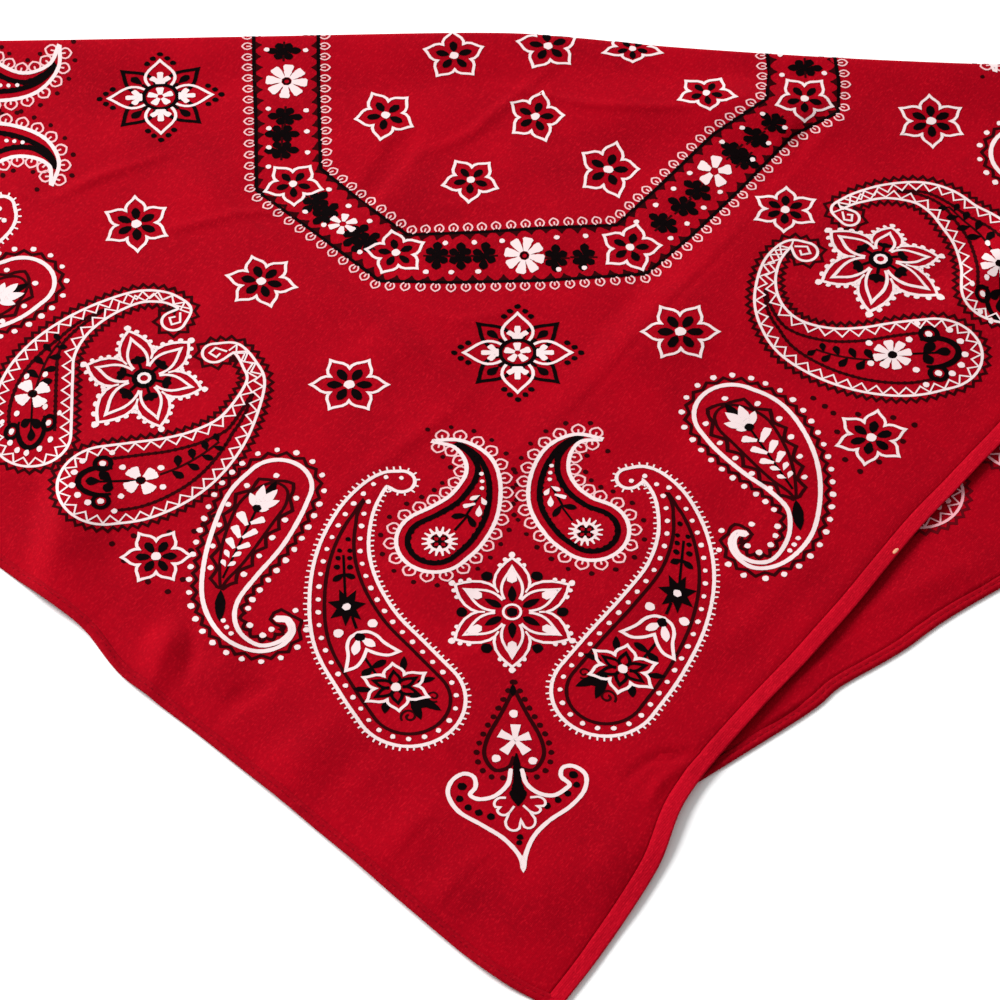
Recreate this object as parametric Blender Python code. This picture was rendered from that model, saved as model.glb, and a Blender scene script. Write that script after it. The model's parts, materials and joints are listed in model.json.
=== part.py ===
"""A cotton bandana, folded once close to its diagonal and laid flat.

Metres, +Z up. The surface it rests on is z = 0, and the origin is under the middle of its footprint.
The near corner of the upper stretch points to -Y and the soft fold runs along +Y.
Each piece is a closed wall of cloth, made as two matching grids of points: an outer and an inner face.
"""

import math

import bpy
import numpy as np

MM = 0.001

# Cloth walls, millimetres
WALL = 1.1
HEM_WALL = 1.3
SEAM_GAP = 0.3
HEM_WIDTH = 3.0
SELVEDGE_WIDTH = 5.0
SELVEDGE_CURL = 0.9
EDGE_RUN_ON = 20.0

# Heights of the upper stretch, millimetres
LIFT = HEM_WALL + SEAM_GAP
DROP_START = 4.0
DROP_END = 16.0
FOLD_RADIUS = 2.6
FOLD_RISE_LENGTH = 22.0
CALM_NEAR_FOLD = 14.0
RIDGE_END_FADE = 0.8

# Grid sizes
CURVE_POINTS = 400
SAMPLES_PER_KNOT = 40
NEAR_POINT = 0.02
FLAP_ROWS = 44
FLAP_COLUMNS = 48
BACK_ROWS = 12
BACK_COLUMNS = 44
ROLL_STEPS = 8
STRIP_COLUMNS = 2

SMOOTH_ANGLE = math.radians(35)
CLOTH_RED = (0.515, 0.001, 0.010, 1.0)
HEM_RED = (0.450, 0.001, 0.009, 1.0)
SELVEDGE_RED = (0.580, 0.020, 0.035, 1.0)
CLOTH_ROUGHNESS = 0.85

# Corners of the laid cloth: (x, y) in millimetres
NEAR_CORNER = (2.5, -189.9)
LEFT_CORNER = (-370.5, 145.0)
HIDDEN_CORNER = (-18.5, -156.9)
RIGHT_CORNER = (370.5, 108.0)
FOLD_LEFT_END = (-336.5, 185.1)
FOLD_RIGHT_END = (265.5, 173.1)

# Hem of the upper stretch, from the near corner to the left corner: (x, y)
FRONT_HEM_EDGE = (
    NEAR_CORNER,
    (-14.8, -180.0),
    (-33.6, -163.2),
    (-68.3, -128.6),
    (-105.0, -93.8),
    (-129.2, -72.1),
    (-141.9, -54.9),
    (-155.4, -43.2),
    (-169.1, -30.6),
    (-234.5, 27.0),
    (-304.5, 88.0),
    LEFT_CORNER,
)

# Right selvedge of the upper stretch, from the near corner to the fold: (x, y)
FRONT_RIGHT_EDGE = (
    NEAR_CORNER,
    (16.5, -168.9),
    (32.2, -141.6),
    (41.3, -117.5),
    (57.2, -94.4),
    (89.6, -53.7),
    (114.9, -18.2),
    (142.7, 15.9),
    (200.5, 91.0),
    FOLD_RIGHT_END,
)

# Left selvedge of the upper stretch, from the left corner to the fold: (x, y)
FRONT_LEFT_EDGE = (
    LEFT_CORNER,
    (-353.0, 165.5),
    FOLD_LEFT_END,
)

# Far side of the fold, left to right: (x, y)
FOLD_EDGE = (
    FOLD_LEFT_END,
    (-264.5, 185.4),
    (-182.0, 186.3),
    (-101.6, 188.1),
    (-21.2, 189.9),
    (10.0, 187.7),
    (42.0, 183.6),
    (97.4, 178.7),
    (152.3, 175.6),
    (210.5, 174.0),
    FOLD_RIGHT_END,
)

# Hem of the lower stretch, from the hidden corner to the right corner: (x, y)
BACK_HEM_EDGE = (
    HIDDEN_CORNER,
    (44.8, -110.4),
    (78.7, -85.3),
    (89.1, -75.4),
    (107.6, -62.8),
    (139.6, -38.6),
    (255.5, 34.0),
    RIGHT_CORNER,
)

# Selvedges of the lower stretch, from its hem to the fold: (x, y)
BACK_LEFT_EDGE = (
    HIDDEN_CORNER,
    (-180.0, 16.0),
    FOLD_LEFT_END,
)
BACK_RIGHT_EDGE = (
    RIGHT_CORNER,
    (318.0, 141.5),
    FOLD_RIGHT_END,
)

# Soft ridges of the upper stretch: (name, x0, y0, x1, y1, height, half_width)
RIDGES = (
    ("old_crease_left", -143.5, 151.0, -9.5, 21.0, 1.6, 10.0),
    ("old_crease_right", 75.5, 121.0, -3.5, 17.0, 2.4, 10.0),
    ("centre_diagonal", -63.5, 116.0, 8.5, 172.0, 2.2, 11.0),
    ("centre_ridge", 5.0, 157.0, 112.0, 151.0, 4.4, 20.0),
    ("centre_short", -20.0, 40.0, -76.5, -12.0, 1.0, 10.0),
    ("upper_left", -153.5, 126.0, -113.5, 142.0, 1.2, 8.0),
    ("middle_left", -120.5, 106.0, -82.5, 113.0, 1.2, 8.0),
    ("left_margin", -161.5, 12.0, -159.5, -40.0, 2.4, 9.5),
    ("margin_wedge", -107.5, -46.0, -122.0, -82.0, 2.0, 8.5),
    ("hem_wave_1", -56.0, -82.0, -84.0, -114.0, 1.3, 8.0),
    ("hem_wave_2", -42.0, -98.0, -68.0, -129.0, 1.1, 8.0),
    ("hem_wave_3", -28.0, -112.0, -54.0, -143.0, 1.4, 8.5),
    ("hem_wave_4", -12.0, -126.0, -36.0, -160.0, 1.1, 8.0),
    ("near_corner_ridge", 27.5, -97.0, 12.0, -168.0, 1.5, 9.0),
    ("selvedge_ridge", 52.5, -66.0, 88.5, -20.0, 2.0, 10.0),
    ("left_wing_long", -290.0, 150.0, -205.0, 70.0, 2.6, 12.0),
    ("left_wing_short", -236.0, 168.0, -186.0, 120.0, 1.8, 10.0),
    ("left_wing_hem", -262.0, 66.0, -232.0, 96.0, 1.5, 9.0),
    ("right_wing_long", 120.0, 60.0, 196.0, 146.0, 2.2, 12.0),
    ("right_wing_short", 176.0, 96.0, 222.0, 150.0, 1.4, 10.0),
)


def smooth_curve(rows, count=CURVE_POINTS):
    """Points along a Catmull-Rom curve through the rows, evenly spaced, as an array of (x, y)."""
    knots = np.array(rows, float)
    first = 2 * knots[0] - knots[1]
    last = 2 * knots[-1] - knots[-2]
    knots = np.vstack([first, knots, last])
    pieces = []
    for i in range(1, len(knots) - 2):
        before, start, end, after = knots[i - 1 : i + 3]
        t = np.linspace(0, 1, SAMPLES_PER_KNOT, endpoint=False)[:, None]
        pieces.append(
            0.5
            * (
                2 * start
                + (end - before) * t
                + (2 * before - 5 * start + 4 * end - after) * t**2
                + (3 * start - before - 3 * end + after) * t**3
            )
        )
    dense = np.vstack(pieces + [knots[-2:-1]])
    return resampled(dense, count)


def shares(points):
    """How far along a path each of its points lies, from 0 to 1."""
    steps = np.linalg.norm(np.diff(points, axis=0), axis=1)
    along = np.concatenate([[0], np.cumsum(steps)])
    return along / along[-1]


def at_shares(points, wanted):
    """Points of a path at the wanted shares of its length."""
    along = shares(points)
    return np.stack([np.interp(wanted, along, points[:, k]) for k in (0, 1)], axis=1)


def resampled(points, count):
    """The same path with points at equal distances along it."""
    return at_shares(points, np.linspace(0, 1, count))


def left_normals(points):
    """Unit vectors that point to the left of the way along a path."""
    tangents = np.gradient(points, axis=0)
    tangents /= np.linalg.norm(tangents, axis=1)[:, None]
    return np.stack([-tangents[:, 1], tangents[:, 0]], axis=1)


def shifted(points, distance):
    """The path moved to its left, and run on a little at both ends so that it meets its neighbours."""
    moved = points + distance * left_normals(points)
    start = moved[0] - EDGE_RUN_ON * unit(moved[1] - moved[0])
    end = moved[-1] + EDGE_RUN_ON * unit(moved[-1] - moved[-2])
    return np.vstack([start, moved, end])


def unit(vector):
    return vector / np.linalg.norm(vector)


def crossing(path, other):
    """How far along `path`, in points, it first crosses `other`."""
    start, step = path[:-1, None], np.diff(path, axis=0)[:, None]
    base, run = other[None, :-1], np.diff(other, axis=0)[None]
    across = step[..., 0] * run[..., 1] - step[..., 1] * run[..., 0]
    offset = base - start
    with np.errstate(divide="ignore", invalid="ignore"):
        on_path = (offset[..., 0] * run[..., 1] - offset[..., 1] * run[..., 0]) / across
        on_other = (offset[..., 0] * step[..., 1] - offset[..., 1] * step[..., 0]) / across
    hits = (on_path >= 0) & (on_path <= 1) & (on_other >= 0) & (on_other <= 1)
    place = np.argwhere(hits)[0]
    return place[0] + on_path[place[0], place[1]]


def clipped(path, first, last):
    """The stretch of `path` between its crossings with two other paths, its own points kept."""
    start, end = crossing(path, first), crossing(path, last)
    if start > end:
        return clipped(path, last, first)[::-1]
    own = np.arange(math.ceil(start), math.floor(end) + 1)
    own = own[(own - start > NEAR_POINT) & (end - own > NEAR_POINT)]
    places = np.concatenate([[start], own, [end]])
    numbers = np.arange(len(path))
    return np.stack([np.interp(places, numbers, path[:, k]) for k in (0, 1)], axis=1)


def patch(bottom, top, left, right):
    """A Coons patch of plan points: rows run from bottom to top, columns from left to right."""
    v = np.linspace(0, 1, len(left))[:, None, None]
    u = np.linspace(0, 1, len(bottom))[None, :, None]
    between_rows = (1 - v) * bottom[None] + v * top[None]
    between_columns = (1 - u) * left[:, None] + u * right[:, None]
    corners = (
        (1 - u) * (1 - v) * bottom[0]
        + u * (1 - v) * bottom[-1]
        + (1 - u) * v * top[0]
        + u * v * top[-1]
    )
    return between_rows + between_columns - corners


def ease(t):
    """Smooth step from 0 to 1."""
    t = np.clip(t, 0, 1)
    return t * t * (3 - 2 * t)


def outside(plan, start, end):
    """Distance of plan points to the left of the line from start to end."""
    along = unit(np.subtract(end, start))
    offset = plan - np.array(start)
    return along[0] * offset[..., 1] - along[1] * offset[..., 0]


def fold_distance(plan):
    """How far plan points lie from the top of the fold's roll, towards the near corner."""
    far_side = np.interp(plan[..., 0], FOLD[:, 0], FOLD[:, 1])
    return far_side - FOLD_RADIUS - plan[..., 1]


def ridge_height(plan):
    """Sum of the soft ridges, each fading out to its sides and ends."""
    total = np.zeros(plan.shape[:-1])
    for _name, x0, y0, x1, y1, height, half_width in RIDGES:
        start = np.array((x0, y0))
        run = np.array((x1, y1)) - start
        offset = plan - start
        along = (offset @ run) / (run @ run)
        across = (offset[..., 0] * run[1] - offset[..., 1] * run[0]) / np.linalg.norm(run)
        profile = np.cos(np.clip(across / half_width, -1, 1) * math.pi / 2) ** 2
        ends = np.sin(np.clip(along, 0, 1) * math.pi) ** RIDGE_END_FADE
        total += height * profile * ends
    return total


def flap_underside(plan):
    """Height of the upper stretch's lower face: on the lower stretch, or on the surface past its edges."""
    past_hem = -outside(plan, HIDDEN_CORNER, BACK_HEM_EDGE[1])
    past_selvedge = -outside(plan, FOLD_LEFT_END, HIDDEN_CORNER)
    past = np.maximum(past_hem, past_selvedge)
    base = LIFT * (1 - ease((past - DROP_START) / (DROP_END - DROP_START)))
    from_fold = fold_distance(plan)
    base += ridge_height(plan) * ease(from_fold / CALM_NEAR_FOLD)
    roll_top = 2 * FOLD_RADIUS - WALL
    return base + (roll_top - base) * ease(1 - from_fold / FOLD_RISE_LENGTH)


def with_height(plan, height):
    """Plan points and their heights as one array of (x, y, z)."""
    return np.concatenate([plan, np.broadcast_to(height, plan.shape[:-1])[..., None]], axis=-1)


def rolled(edge):
    """Outer and inner points of the fold's half-round roll, from a row of plan points along its top."""
    slopes = np.interp(edge[:, 0], FOLD[:, 0], np.gradient(FOLD[:, 1], FOLD[:, 0]))
    outward = np.stack([-slopes, np.ones(len(edge))], axis=1)
    outward /= np.linalg.norm(outward, axis=1)[:, None]
    faces = []
    for radius in (FOLD_RADIUS, FOLD_RADIUS - WALL):
        rows = []
        for i in range(1, ROLL_STEPS + 1):
            angle = math.pi / 2 - math.pi * i / ROLL_STEPS
            plan = edge + radius * math.cos(angle) * outward
            rows.append(with_height(plan, FOLD_RADIUS + radius * math.sin(angle)))
        faces.append(np.array(rows))
    return faces


def strip_plan(free_edge, panel_edge, outward, first, last):
    """Plan points of a strip from its free edge to the seam beside a panel, between two other paths."""
    seam = clipped(shifted(panel_edge, outward * SEAM_GAP), first, last)
    edge = at_shares(clipped(free_edge, first, last), shares(seam))
    share = np.linspace(0, 1, STRIP_COLUMNS + 1)[None, :, None]
    return (1 - share) * edge[:, None] + share * seam[:, None]


def across_strip(plan):
    """Share of the way across a strip, from its free edge to its seam."""
    return np.broadcast_to(np.linspace(0, 1, plan.shape[1])[None], plan.shape[:-1])


def hem_faces(plan, underside):
    """A turned hem: a low crown of cloth over its stitched edge."""
    crown = WALL + (HEM_WALL - WALL) * np.sin(across_strip(plan) * math.pi)
    return with_height(plan, underside + crown), with_height(plan, underside)


def selvedge_faces(plan, underside, curl):
    """A woven edge, whose free side may curl up a little."""
    lifted = underside + curl * (1 - across_strip(plan)) ** 2
    return with_height(plan, lifted + WALL), with_height(plan, lifted)


def fold_over(faces):
    """Adds the fold's roll to the end of a wall, whose last row lies along the roll's top."""
    outer, inner = faces
    roll_outer, roll_inner = rolled(outer[-1, :, :2])
    return np.concatenate([outer, roll_outer]), np.concatenate([inner, roll_inner])


def cloth_material(name, colour):
    material = bpy.data.materials.new(name)
    material.use_nodes = True
    shader = material.node_tree.nodes["Principled BSDF"]
    shader.inputs["Base Color"].default_value = colour
    shader.inputs["Roughness"].default_value = CLOTH_ROUGHNESS
    shader.inputs["Metallic"].default_value = 0.0
    return material


def grid_faces(rows, columns, start):
    """Quads of a grid of points that are numbered row by row from `start`."""
    quads = []
    for i in range(rows - 1):
        for j in range(columns - 1):
            corner = start + i * columns + j
            quads.append((corner, corner + 1, corner + columns + 1, corner + columns))
    return quads


def rim_loop(rows, columns):
    """Numbers of a grid's outermost points, in order round it."""
    bottom = list(range(columns))
    right = [i * columns + columns - 1 for i in range(1, rows)]
    top = [(rows - 1) * columns + j for j in range(columns - 2, -1, -1)]
    left = [i * columns for i in range(rows - 2, 0, -1)]
    return bottom + right + top + left


def add_wall(name, faces, colour, parent):
    """A closed wall from its outer and inner grids, as an object with its origin under its middle."""
    outer, inner = faces
    rows, columns = outer.shape[:2]
    count = rows * columns
    quads = grid_faces(rows, columns, 0)
    quads += [tuple(reversed(quad)) for quad in grid_faces(rows, columns, count)]
    rim = rim_loop(rows, columns)
    for here, after in zip(rim, rim[1:] + rim[:1]):
        quads.append((after, here, here + count, after + count))
    points = np.concatenate([outer.reshape(-1, 3), inner.reshape(-1, 3)]) * MM
    middle = (points.min(axis=0) + points.max(axis=0)) / 2
    middle[2] = 0.0

    mesh = bpy.data.meshes.new(name)
    mesh.from_pydata((points - middle).tolist(), [], quads)
    if signed_volume(points, quads) < 0:
        mesh.flip_normals()
    mesh.materials.append(cloth_material(name + "_cloth", colour))
    mesh.shade_smooth()
    mesh.set_sharp_from_angle(angle=SMOOTH_ANGLE)
    wall = bpy.data.objects.new(name, mesh)
    wall.location = middle
    wall.parent = parent
    bpy.context.collection.objects.link(wall)
    return wall


def signed_volume(points, quads):
    """Six times the volume inside the quads, negative where they face inwards."""
    a, b, c, d = (points[np.array(quads)[:, k]] for k in range(4))
    return (np.cross(a, b) * c).sum() + (np.cross(a, c) * d).sum()


def panel_sides(lines, bottom, left, right, top, rows, columns):
    """A panel's four sides: each line cut off where it meets its neighbours."""
    return {
        bottom: resampled(clipped(lines[bottom], lines[left], lines[right]), columns + 1),
        top: resampled(clipped(lines[top], lines[left], lines[right]), columns + 1),
        left: resampled(clipped(lines[left], lines[bottom], lines[top]), rows + 1),
        right: resampled(clipped(lines[right], lines[bottom], lines[top]), rows + 1),
    }


FOLD = smooth_curve(FOLD_EDGE)

# Edges of the cloth: (node, rows, side of the cloth: 1 on the left of the way along it, width of its strip)
EDGES = (
    ("front_hem", FRONT_HEM_EDGE, -1, HEM_WIDTH),
    ("front_selvedge_right", FRONT_RIGHT_EDGE, 1, SELVEDGE_WIDTH),
    ("front_selvedge_left", FRONT_LEFT_EDGE, -1, SELVEDGE_WIDTH),
    ("back_hem", BACK_HEM_EDGE, 1, HEM_WIDTH),
    ("back_selvedge_right", BACK_RIGHT_EDGE, 1, SELVEDGE_WIDTH),
    ("back_selvedge_left", BACK_LEFT_EDGE, -1, SELVEDGE_WIDTH),
)


def front_faces(plan):
    underside = flap_underside(plan)
    return with_height(plan, underside + WALL), with_height(plan, underside)


def back_faces(plan):
    return with_height(plan, WALL), with_height(plan, 0.0)


def build():
    for old in list(bpy.data.objects):
        bpy.data.objects.remove(old)
    bandana = bpy.data.objects.new("bandana", None)
    bpy.context.collection.objects.link(bandana)

    free = {"roll_top": shifted(FOLD, -FOLD_RADIUS)}
    free["roll_end"] = shifted(FOLD, -FOLD_RADIUS - SEAM_GAP)
    panel = dict(free)
    outward = {}
    for name, rows, inward, width in EDGES:
        line = smooth_curve(rows)
        free[name] = shifted(line, 0)
        panel[name] = shifted(line, inward * (width + SEAM_GAP))
        outward[name] = -inward

    front = panel_sides(
        panel,
        bottom="front_hem",
        left="front_selvedge_right",
        right="front_selvedge_left",
        top="roll_top",
        rows=FLAP_ROWS,
        columns=FLAP_COLUMNS,
    )
    back = panel_sides(
        panel,
        bottom="back_hem",
        left="back_selvedge_left",
        right="back_selvedge_right",
        top="roll_end",
        rows=BACK_ROWS,
        columns=BACK_COLUMNS,
    )
    plan = patch(
        front["front_hem"],
        front["roll_top"],
        front["front_selvedge_right"],
        front["front_selvedge_left"],
    )
    add_wall("front_flap", fold_over(front_faces(plan)), CLOTH_RED, bandana)
    plan = patch(
        back["back_hem"],
        back["roll_end"],
        back["back_selvedge_left"],
        back["back_selvedge_right"],
    )
    add_wall("back_layer", back_faces(plan), CLOTH_RED, bandana)

    def plan_of(name, sides, first, last):
        return strip_plan(free[name], sides[name], outward[name], first, last)

    plan = plan_of("front_hem", front, free["front_selvedge_right"], free["front_selvedge_left"])
    add_wall("front_hem", hem_faces(plan, flap_underside(plan)), HEM_RED, bandana)
    plan = plan_of("back_hem", back, free["back_selvedge_left"], free["back_selvedge_right"])
    add_wall("back_hem", hem_faces(plan, 0.0), HEM_RED, bandana)

    for name, curl in (("front_selvedge_right", SELVEDGE_CURL), ("front_selvedge_left", 0.0)):
        plan = plan_of(name, front, panel["front_hem"], free["roll_top"])
        lifted = curl * ease(fold_distance(plan) / FOLD_RISE_LENGTH)
        selvedge = selvedge_faces(plan, flap_underside(plan), lifted)
        add_wall(name, fold_over(selvedge), SELVEDGE_RED, bandana)
    for name in ("back_selvedge_right", "back_selvedge_left"):
        plan = plan_of(name, back, panel["back_hem"], free["roll_end"])
        add_wall(name, selvedge_faces(plan, 0.0, 0.0), SELVEDGE_RED, bandana)


build()
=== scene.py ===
"""Looks of a printed cotton bandana, folded once close to its diagonal and laid flat.

Lengths below are millimetres in the row frame, and meshes are written in metres.
The upper stretch is the flap: its near corner points to -Y and the soft fold runs along +Y.
The print is thin ink on the cloth: ribbons, petals and dots that follow the cloth's own mesh.
"""

import json
import math
from contextlib import contextmanager

import bpy
import numpy as np
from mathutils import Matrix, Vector
from mathutils.bvhtree import BVHTree

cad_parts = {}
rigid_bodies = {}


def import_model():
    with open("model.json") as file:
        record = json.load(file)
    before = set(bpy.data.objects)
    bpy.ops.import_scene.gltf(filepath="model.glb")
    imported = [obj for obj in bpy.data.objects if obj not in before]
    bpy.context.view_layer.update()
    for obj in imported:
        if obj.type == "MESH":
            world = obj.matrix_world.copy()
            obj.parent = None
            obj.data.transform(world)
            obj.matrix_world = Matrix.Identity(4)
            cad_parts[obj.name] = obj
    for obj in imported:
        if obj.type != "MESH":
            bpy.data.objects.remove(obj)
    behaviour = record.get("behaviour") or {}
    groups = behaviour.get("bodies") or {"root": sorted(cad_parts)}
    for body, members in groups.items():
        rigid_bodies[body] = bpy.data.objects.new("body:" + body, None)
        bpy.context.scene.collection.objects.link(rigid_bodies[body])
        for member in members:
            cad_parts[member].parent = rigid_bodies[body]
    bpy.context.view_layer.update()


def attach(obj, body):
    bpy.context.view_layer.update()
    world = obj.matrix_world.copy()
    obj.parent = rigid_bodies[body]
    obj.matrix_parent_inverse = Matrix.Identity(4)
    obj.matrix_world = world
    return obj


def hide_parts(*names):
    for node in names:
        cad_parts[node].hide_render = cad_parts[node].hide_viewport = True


MM = 0.001
RANDOM = np.random.RandomState(11)

# Camera: the place that it looks at, how steeply and from how far, and its lens and sensor
CAMERA_TARGET = (-14.5, -3.9, 0.0)
CAMERA_ELEVATION = math.radians(53.0)
CAMERA_DISTANCE = 1562.5
CAMERA_LENS = 180.0
CAMERA_SENSOR = 36.0
# Stage, in metres: the nearest and farthest that the camera sees, the lamp and the floor
CAMERA_CLIP = (0.05, 30.0)
WORLD_STRENGTH = 0.5
LAMP_PLACE = (-1.6, 1.05, 1.45)
LAMP_SIZE = 1.5
LAMP_WATTS = 98.0
FLOOR_SIDE = 4.0

# Cloth of the solids
WALL = 1.1
HEM_WALL = 1.3
SEAM_GAP = 0.3
HEM_WIDTH = 3.0
SELVEDGE_WIDTH = 5.0
SELVEDGE_CURL = 0.5
EDGE_RUN_ON = 20.0
SLUB_LINE = ((106.6, -27.4), (108.9, -24.6))
LIFT = HEM_WALL + SEAM_GAP
DROP_START = 4.0
DROP_END = 32.0
FOLD_RADIUS = 2.6
FOLD_RISE_LENGTH = 22.0
CALM_NEAR_FOLD = 14.0
RIDGE_END_FADE = 0.8
# How deep creases reach: on the flap a share of its lift and a depth, and on the back layer
FLAP_SINK_SHARE = 0.35
FLAP_SINK = 0.1
BACK_SINK = 0.15
# How far in under the flap the back layer keeps its creases
BACK_CREASE_REACH = 60.0

# Cloth as it shows: heights above the solids' lower faces
CLOTH_UNDER = 0.40
CLOTH_OVER = 0.85
FLOOR_GAP = 0.04
BACK_UNDER = 0.25
BACK_OVER = 0.70
ROLL_OUTER = 2.35
ROLL_INNER = 1.90
GROOVE_DEPTH = 0.45
GROOVE_WIDTH = 1.6

# Threads: degrees round in the cloth and in the ink, pitch, waver, and their slubs and bumps
THREAD_TURN = 54.0
INK_THREAD_TURN = 48.0
THREAD_PITCH = 0.45
THREAD_WAVER = 0.6
SLUB_SCALE = 1.1
SLUB_STRETCHES = ((0.12, 1), (1, 0.12))
BUMP_STRENGTH = 0.6
# Mottling: scales of its slow and its fine part, shares of these and of the slubs, and its ramp
MOTTLE_SCALE = 0.035
GRAIN_SCALE = 1.3
MOTTLE_SHARE, SLUB_SHARE, GRAIN_SHARE = 0.5, 0.22, 0.28
MOTTLE_RAMP = (0.38, 0.82)
# Painted glints: lighter flecks painted into the cloth's colour where its threads would catch the
# light. Stretch along and across the threads
GLINT_STRETCH = (0.55, 1.4)
GLINT_SCALE = 1.5
GLINT_START = 0.53
GLINT_GAIN = 2.2
GLINT_LIGHT = 1.45
GLINT_FLOOR = 0.004
# Roughness of ink: its least, and how much the slubs add
INK_ROUGH = 0.65
INK_ROUGH_SPREAD = 0.15
# Sockets of Blender's Mix node when it mixes colours
MIX_FACTOR, MIX_FIRST, MIX_SECOND, MIX_RESULT = 0, 6, 7, 2

# Points of the curves, grids of the panels as (rows, columns), and steps in millimetres
CURVE_POINTS = 900
FOLD_POINTS = 400
STITCH_LINE_POINTS = 700
SAMPLES_PER_KNOT = 40
FLAP_GRID = (262, 312)
BACK_GRID = (150, 260)
UNDER_STEP = 4
EVEN_SPACING = 0.62
ROLL_STEPS = 12
EDGE_STEP = 1.0

# Ink
INK_STEP = 1.3
# Height of each ink over the cloth; the last two lie on white or on black ink
INK_LIFT = {
    "dark": 0.10,
    "black": 0.12,
    "pale": 0.14,
    "white": 0.15,
    "black_over": 0.20,
    "white_over": 0.21,
}
DRAWING_HEIGHT = 3.0
MITRE_LIMIT = 2.2
# Where a stroke turns back on itself: the least sum of its two directions that shows its side
SHARPEST_TURN = 0.2
# Unevenness of strokes and of dots, as shares of their widths
STROKE_UNEVEN = 0.05
DOT_UNEVEN = 0.07
# Ink is left out further round the roll than this, in degrees, and this near the roll's ends
LAST_INK_ANGLE = 172
ROLL_END_MARGIN = 8
# Steps that find where the camera sees a point of the drawing, and where rays down start
SETTLING_STEPS = 5
RAY_START = 40.0

NEAR_CORNER = (2.5, -189.9)
LEFT_CORNER = (-370.5, 145.0)
HIDDEN_CORNER = (-18.5, -156.9)
RIGHT_CORNER = (370.5, 108.0)
FOLD_LEFT_END = (-336.5, 185.1)
FOLD_RIGHT_END = (265.5, 173.1)

# Edges of the cloth: (x, y)
FRONT_HEM_EDGE = (
    NEAR_CORNER, (-14.8, -180.0), (-33.6, -163.2), (-68.3, -128.6), (-105.0, -93.8),
    (-129.2, -72.1), (-141.9, -54.9), (-155.4, -43.2), (-169.1, -30.6), (-234.5, 27.0),
    (-304.5, 88.0), LEFT_CORNER,
)
FRONT_RIGHT_EDGE = (
    NEAR_CORNER, (16.5, -168.9), (32.2, -141.6), (41.3, -117.5), (57.2, -94.4), (89.6, -53.7),
    (114.9, -18.2), (142.7, 15.9), (200.5, 91.0), FOLD_RIGHT_END,
)
FRONT_LEFT_EDGE = (LEFT_CORNER, (-353.0, 165.5), FOLD_LEFT_END)
FOLD_EDGE = (
    FOLD_LEFT_END, (-264.5, 185.4), (-182.0, 186.3), (-101.6, 188.1), (-21.2, 189.9),
    (10.0, 187.7), (42.0, 183.6), (97.4, 178.7), (152.3, 175.6), (210.5, 174.0), FOLD_RIGHT_END,
)
BACK_HEM_EDGE = (
    HIDDEN_CORNER, (44.8, -110.4), (78.7, -85.3), (89.1, -75.4), (107.6, -62.8), (139.6, -38.6),
    (255.5, 34.0), RIGHT_CORNER,
)
BACK_LEFT_EDGE = (HIDDEN_CORNER, (-180.0, 16.0), FOLD_LEFT_END)
BACK_RIGHT_EDGE = (RIGHT_CORNER, (318.0, 141.5), FOLD_RIGHT_END)

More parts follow.
